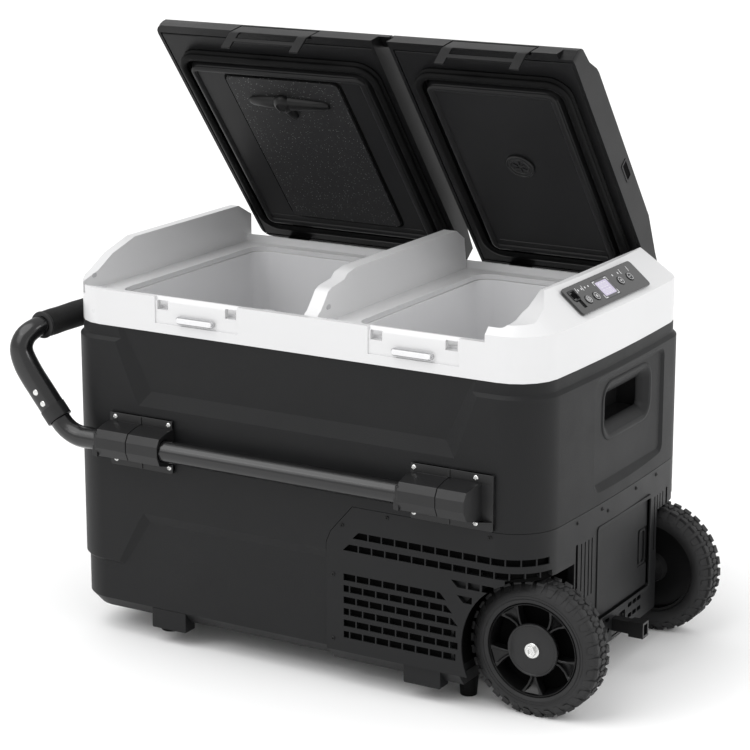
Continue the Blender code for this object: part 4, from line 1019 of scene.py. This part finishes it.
def bar_outline(x0, y0, x1, y1, half):
    """A thin line between two points of a plane, as an outline."""
    along = Vector((x1 - x0, y1 - y0)).normalized() * half
    dx, dy = -along.y, along.x
    return [(x0 + dx, y0 + dy), (x0 - dx, y0 - dy), (x1 - dx, y1 - dy), (x1 + dx, y1 + dy)]


def arc(radius, first, last, step, half):
    """The lines of an arc, in degrees, as bar_outline takes them."""
    points = [polar(radius, radians(t)) for t in range(first, last, step)]
    return [(*a, *b, half) for a, b in zip(points, points[1:])]


def make_panel_marks():
    """The screen's corner marks, and the dots and dashes beside the buttons."""
    outlines = []
    for sx, sy in ((-1, -1), (-1, 1), (1, -1), (1, 1)):
        x, y = sx * 11.8, -3 + sy * 17.2
        outlines += [bar_outline(x, y, x - sx * 5, y, 0.45), bar_outline(x, y, x, y - sy * 5, 0.45)]
    outlines += [rounded(x - 1.4, x + 1.4, y - 0.9, y + 0.9, 0.8, 3) for x, y in DOTS]
    outlines += [bar_outline(-7, y, -14, y + 1.2, 0.4) for y in (-62.5, -47.5, 50, 69)]
    prisms("panel_marks", outlines, PANEL_FACE - 0.2, PANEL_FACE + 0.12, PANEL, MARK, "cabinet")


def make_screen():
    screen = rounded(-9.8, 9.8, -17, 11, 1.2, 3)
    plate("lit_screen", screen, PANEL_FACE - 0.4, PANEL_FACE + 0.1, PANEL, SCREEN)
    lines = [
        bar_outline(x + x0, y + y0, x + x1, y + y1, 0.32)
        for x in (-4.2, 4.8) for y in (-10.5, -3.5, 3.5) for x0, y0, x1, y1 in SEGMENTS
    ]
    prisms("screen_segments", lines, PANEL_FACE, PANEL_FACE + 0.18, PANEL, MARK, "cabinet")


def make_usb_port():
    inner, outer = (rounded(-12.5, -0.5, -80.5, -67, 1.2, 3, grow) for grow in (0, 1.2))
    framed("usb_bezel", outer, inner, PANEL_FACE - 0.4, PANEL_FACE + 0.5, PANEL, BLACK)
    tongue = rounded(-9.5, -3.5, -77.5, -70, 0.5, 2)
    # The tongue is near black: painted shade inside the port.
    plate("usb_tongue", tongue, PANEL_FACE - 1.4, PANEL_FACE - 0.2, PANEL, SHADE_BLACK)


def make_buttons():
    """The four keys, each with a ring and a generic mark."""
    for name, (x, y) in BUTTONS.items():
        place = PANEL @ Matrix.Translation((x, y, 0))
        levels = [
            ([(a * share * 0.98, b * share) for a, b in circle(BUTTON_RADIUS, 36)], PANEL_FACE + up)
            for share, up in KEY
        ]
        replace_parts(loft(f"{name}_key", stack(place, levels), BLACK, name, smooth=50), name)
        lines = arc(4.4, 0, 361, 15, 0.22)
        if name == "button_power":
            lines += arc(2.2, 40, 321, 20, 0.32)
        outlines = [bar_outline(*line) for line in lines + ICONS[name]]
        prisms(f"{name}_icon", outlines, PANEL_FACE + 0.8, PANEL_FACE + 1.2, place, MARK, name)


# ---- shell details

COVER_SCREWS = ((70.9, 190.8), (128.7, 208.6), (58.9, 131.1), (58.5, 54.8), (256.5, 207.4))
END_SCREWS = ((-105, 206.5), (-45, 206.5), (-30, 200.5), (45, 206.5), (105, 206.5))
# The hand pocket's rim: X, and how far it stands out from the mouth.
POCKET_RIM = (
    (299.5, -0.8), (302.2, -0.4), (307, 5), (311.2, 11), (312.4, 14.5),
    (312.2, 17.5), (311.2, 18), (309.5, 12), (300, 0.6),
)
PULL_RIM = ((313.8, 1.2), (314.6, 0.6), (314.6, -1.2), (313, -1.4))
INLET_COLLAR = ((6.6, -1), (12.8, -1), (12.8, 1.6), (11.8, 2.4), (7.8, 2.4), (6.6, 1.6))


def make_shell_details():
    """The vent cover's screws, and the blocks under the body's long edges."""
    for label, side in SIDES:
        for k, (x, z) in enumerate(COVER_SCREWS):
            screw(f"cover_screw_{label}_{k}", outwards(side, x, z), 2.4, SCREW_BLACK)
        y0, y1 = sorted((side * (HALF_WIDTH - 24), side * (HALF_WIDTH - STEP - 0.6)))
        for k, (x0, x1) in enumerate(((-195, -147), (147, 194))):
            levels = [
                ([(x0 + inset, y0), (x1 - inset, y0), (x1 - inset, y1), (x0 + inset, y1)], z)
                for z, inset in ((18.5, 0.8), (20.5, 0), (42.5, 0))
            ]
            ease(loft(f"skirt_block_{label}_{k}", stack(Matrix(), levels), CHARCOAL_FINE, "cabinet"), 0.8)
    for k, (y, z) in enumerate(END_SCREWS):
        x = HALF_LENGTH + END_BOW * (1 - (y / HALF_WIDTH) ** 2)
        screw(f"end_screw_{k}", facing((x, y, z), (1, 0, 0)), 2.2, SCREW_BLACK)


def make_end_details():
    """The frame round the battery door, and the rims of its pull, the hand pocket and the inlet."""
    outer, inner = rounded(-57, 90, 72.5, 188, 5, 5), rounded(-52.5, 86, 76.5, 183.5, 3, 5)
    face = HALF_LENGTH + END_BOW + 0.7
    ease(framed("door_frame", outer, inner, face - 6.9, face, END_FACE, CHARCOAL_FINE), 0.6)
    levels = [(rounded(65.5 - g, 79 + g, 108 - g, 148 + g, 4, 4), x) for x, g in PULL_RIM]
    loft("door_pull_rim", stack(END_FACE, levels), CHARCOAL_FINE, "door", closed=True)
    levels = [
        (rounded(-23.5 - g, 73.5 + g, 297.5 - g, 331.5 + g, 5 + max(g, 0), 5), x) for x, g in POCKET_RIM
    ]
    loft("hand_pocket_rim", stack(END_FACE, levels), CHARCOAL, "cabinet", closed=True, smooth=60)
    turned("inlet_collar", INLET_COLLAR, outwards(1, INLET_X, INLET_Z), 40, BLACK, "cabinet")


# ---- stage


def add_lamp(name, data, direction, place=(0, 0, 0)):
    lamp = add_object(name, data)
    lamp.location = place
    lamp.rotation_euler = Vector(direction).to_track_quat("-Z", "Y").to_euler()


def add_area(name, place, target, power, size):
    data = bpy.data.lights.new(name, "AREA")
    data.energy = power
    data.shape = "DISK"
    data.size = size
    add_lamp(name, data, Vector(target) - Vector(place), place)


def make_stage():
    shape = bmesh.new()
    bmesh.ops.create_circle(shape, cap_ends=True, radius=45.0, segments=96)
    pale = finish("pale_floor", (0.96, 0.96, 0.96), 0.62, (60, 0.01), (0.7, 0.006))
    add_piece("floor", shape, pale)
    sun = bpy.data.lights.new("soft_sun", "SUN")
    sun.energy = 1.35
    sun.angle = radians(50)
    add_lamp("soft_sun", sun, (0.30, 0.42, -0.86))
    add_area("front_light", (-1.6, -2.6, 1.75), (0.0, 0.0, 0.25), 10.0, 1.5)
    add_area("end_light", (2.5, -0.2, 1.7), (0.0, 0.0, 0.35), 15.0, 1.2)
    world = bpy.data.worlds.new("studio")
    world.use_nodes = True
    feed(world.node_tree, world.node_tree.nodes["Background"], Color=(1.0, 1.0, 1.0, 1.0), Strength=0.88)
    bpy.context.scene.world = world
    bpy.context.scene.view_settings.view_transform = "Standard"


def make_camera():
    data = bpy.data.cameras.new("camera")
    data.sensor_width = 36.0
    data.lens = 116.6
    data.shift_y = -0.0565
    data.clip_end = 120.0
    camera = add_object("camera", data)
    right = Vector((0.86268, 0.50575, 0.0001))
    up = Vector((-0.12133, 0.20672, 0.97085))
    turn = Matrix((right, up, right.cross(up))).transposed().to_4x4()
    camera.matrix_world = Matrix.Translation((1.4031, -2.3995, 1.0461)) @ turn
    bpy.context.scene.camera = camera


make_camera()
make_stage()
dress_frame()
make_shell()
make_vent_cover()
make_grille_shade_sheets()
make_well_liners()
for wheel, wheel_side in SIDES:
    make_tyre(wheel, wheel_side)
    make_rim(wheel, wheel_side)
make_arms()
make_grip()
make_bracket_details()
make_lid_details()
make_tray_details()
make_vent_plug()
make_side_slot()
make_collar_details()
make_panel_marks()
make_screen()
make_usb_port()
make_buttons()
make_shell_details()
make_end_details()

bpy.context.view_layer.update()
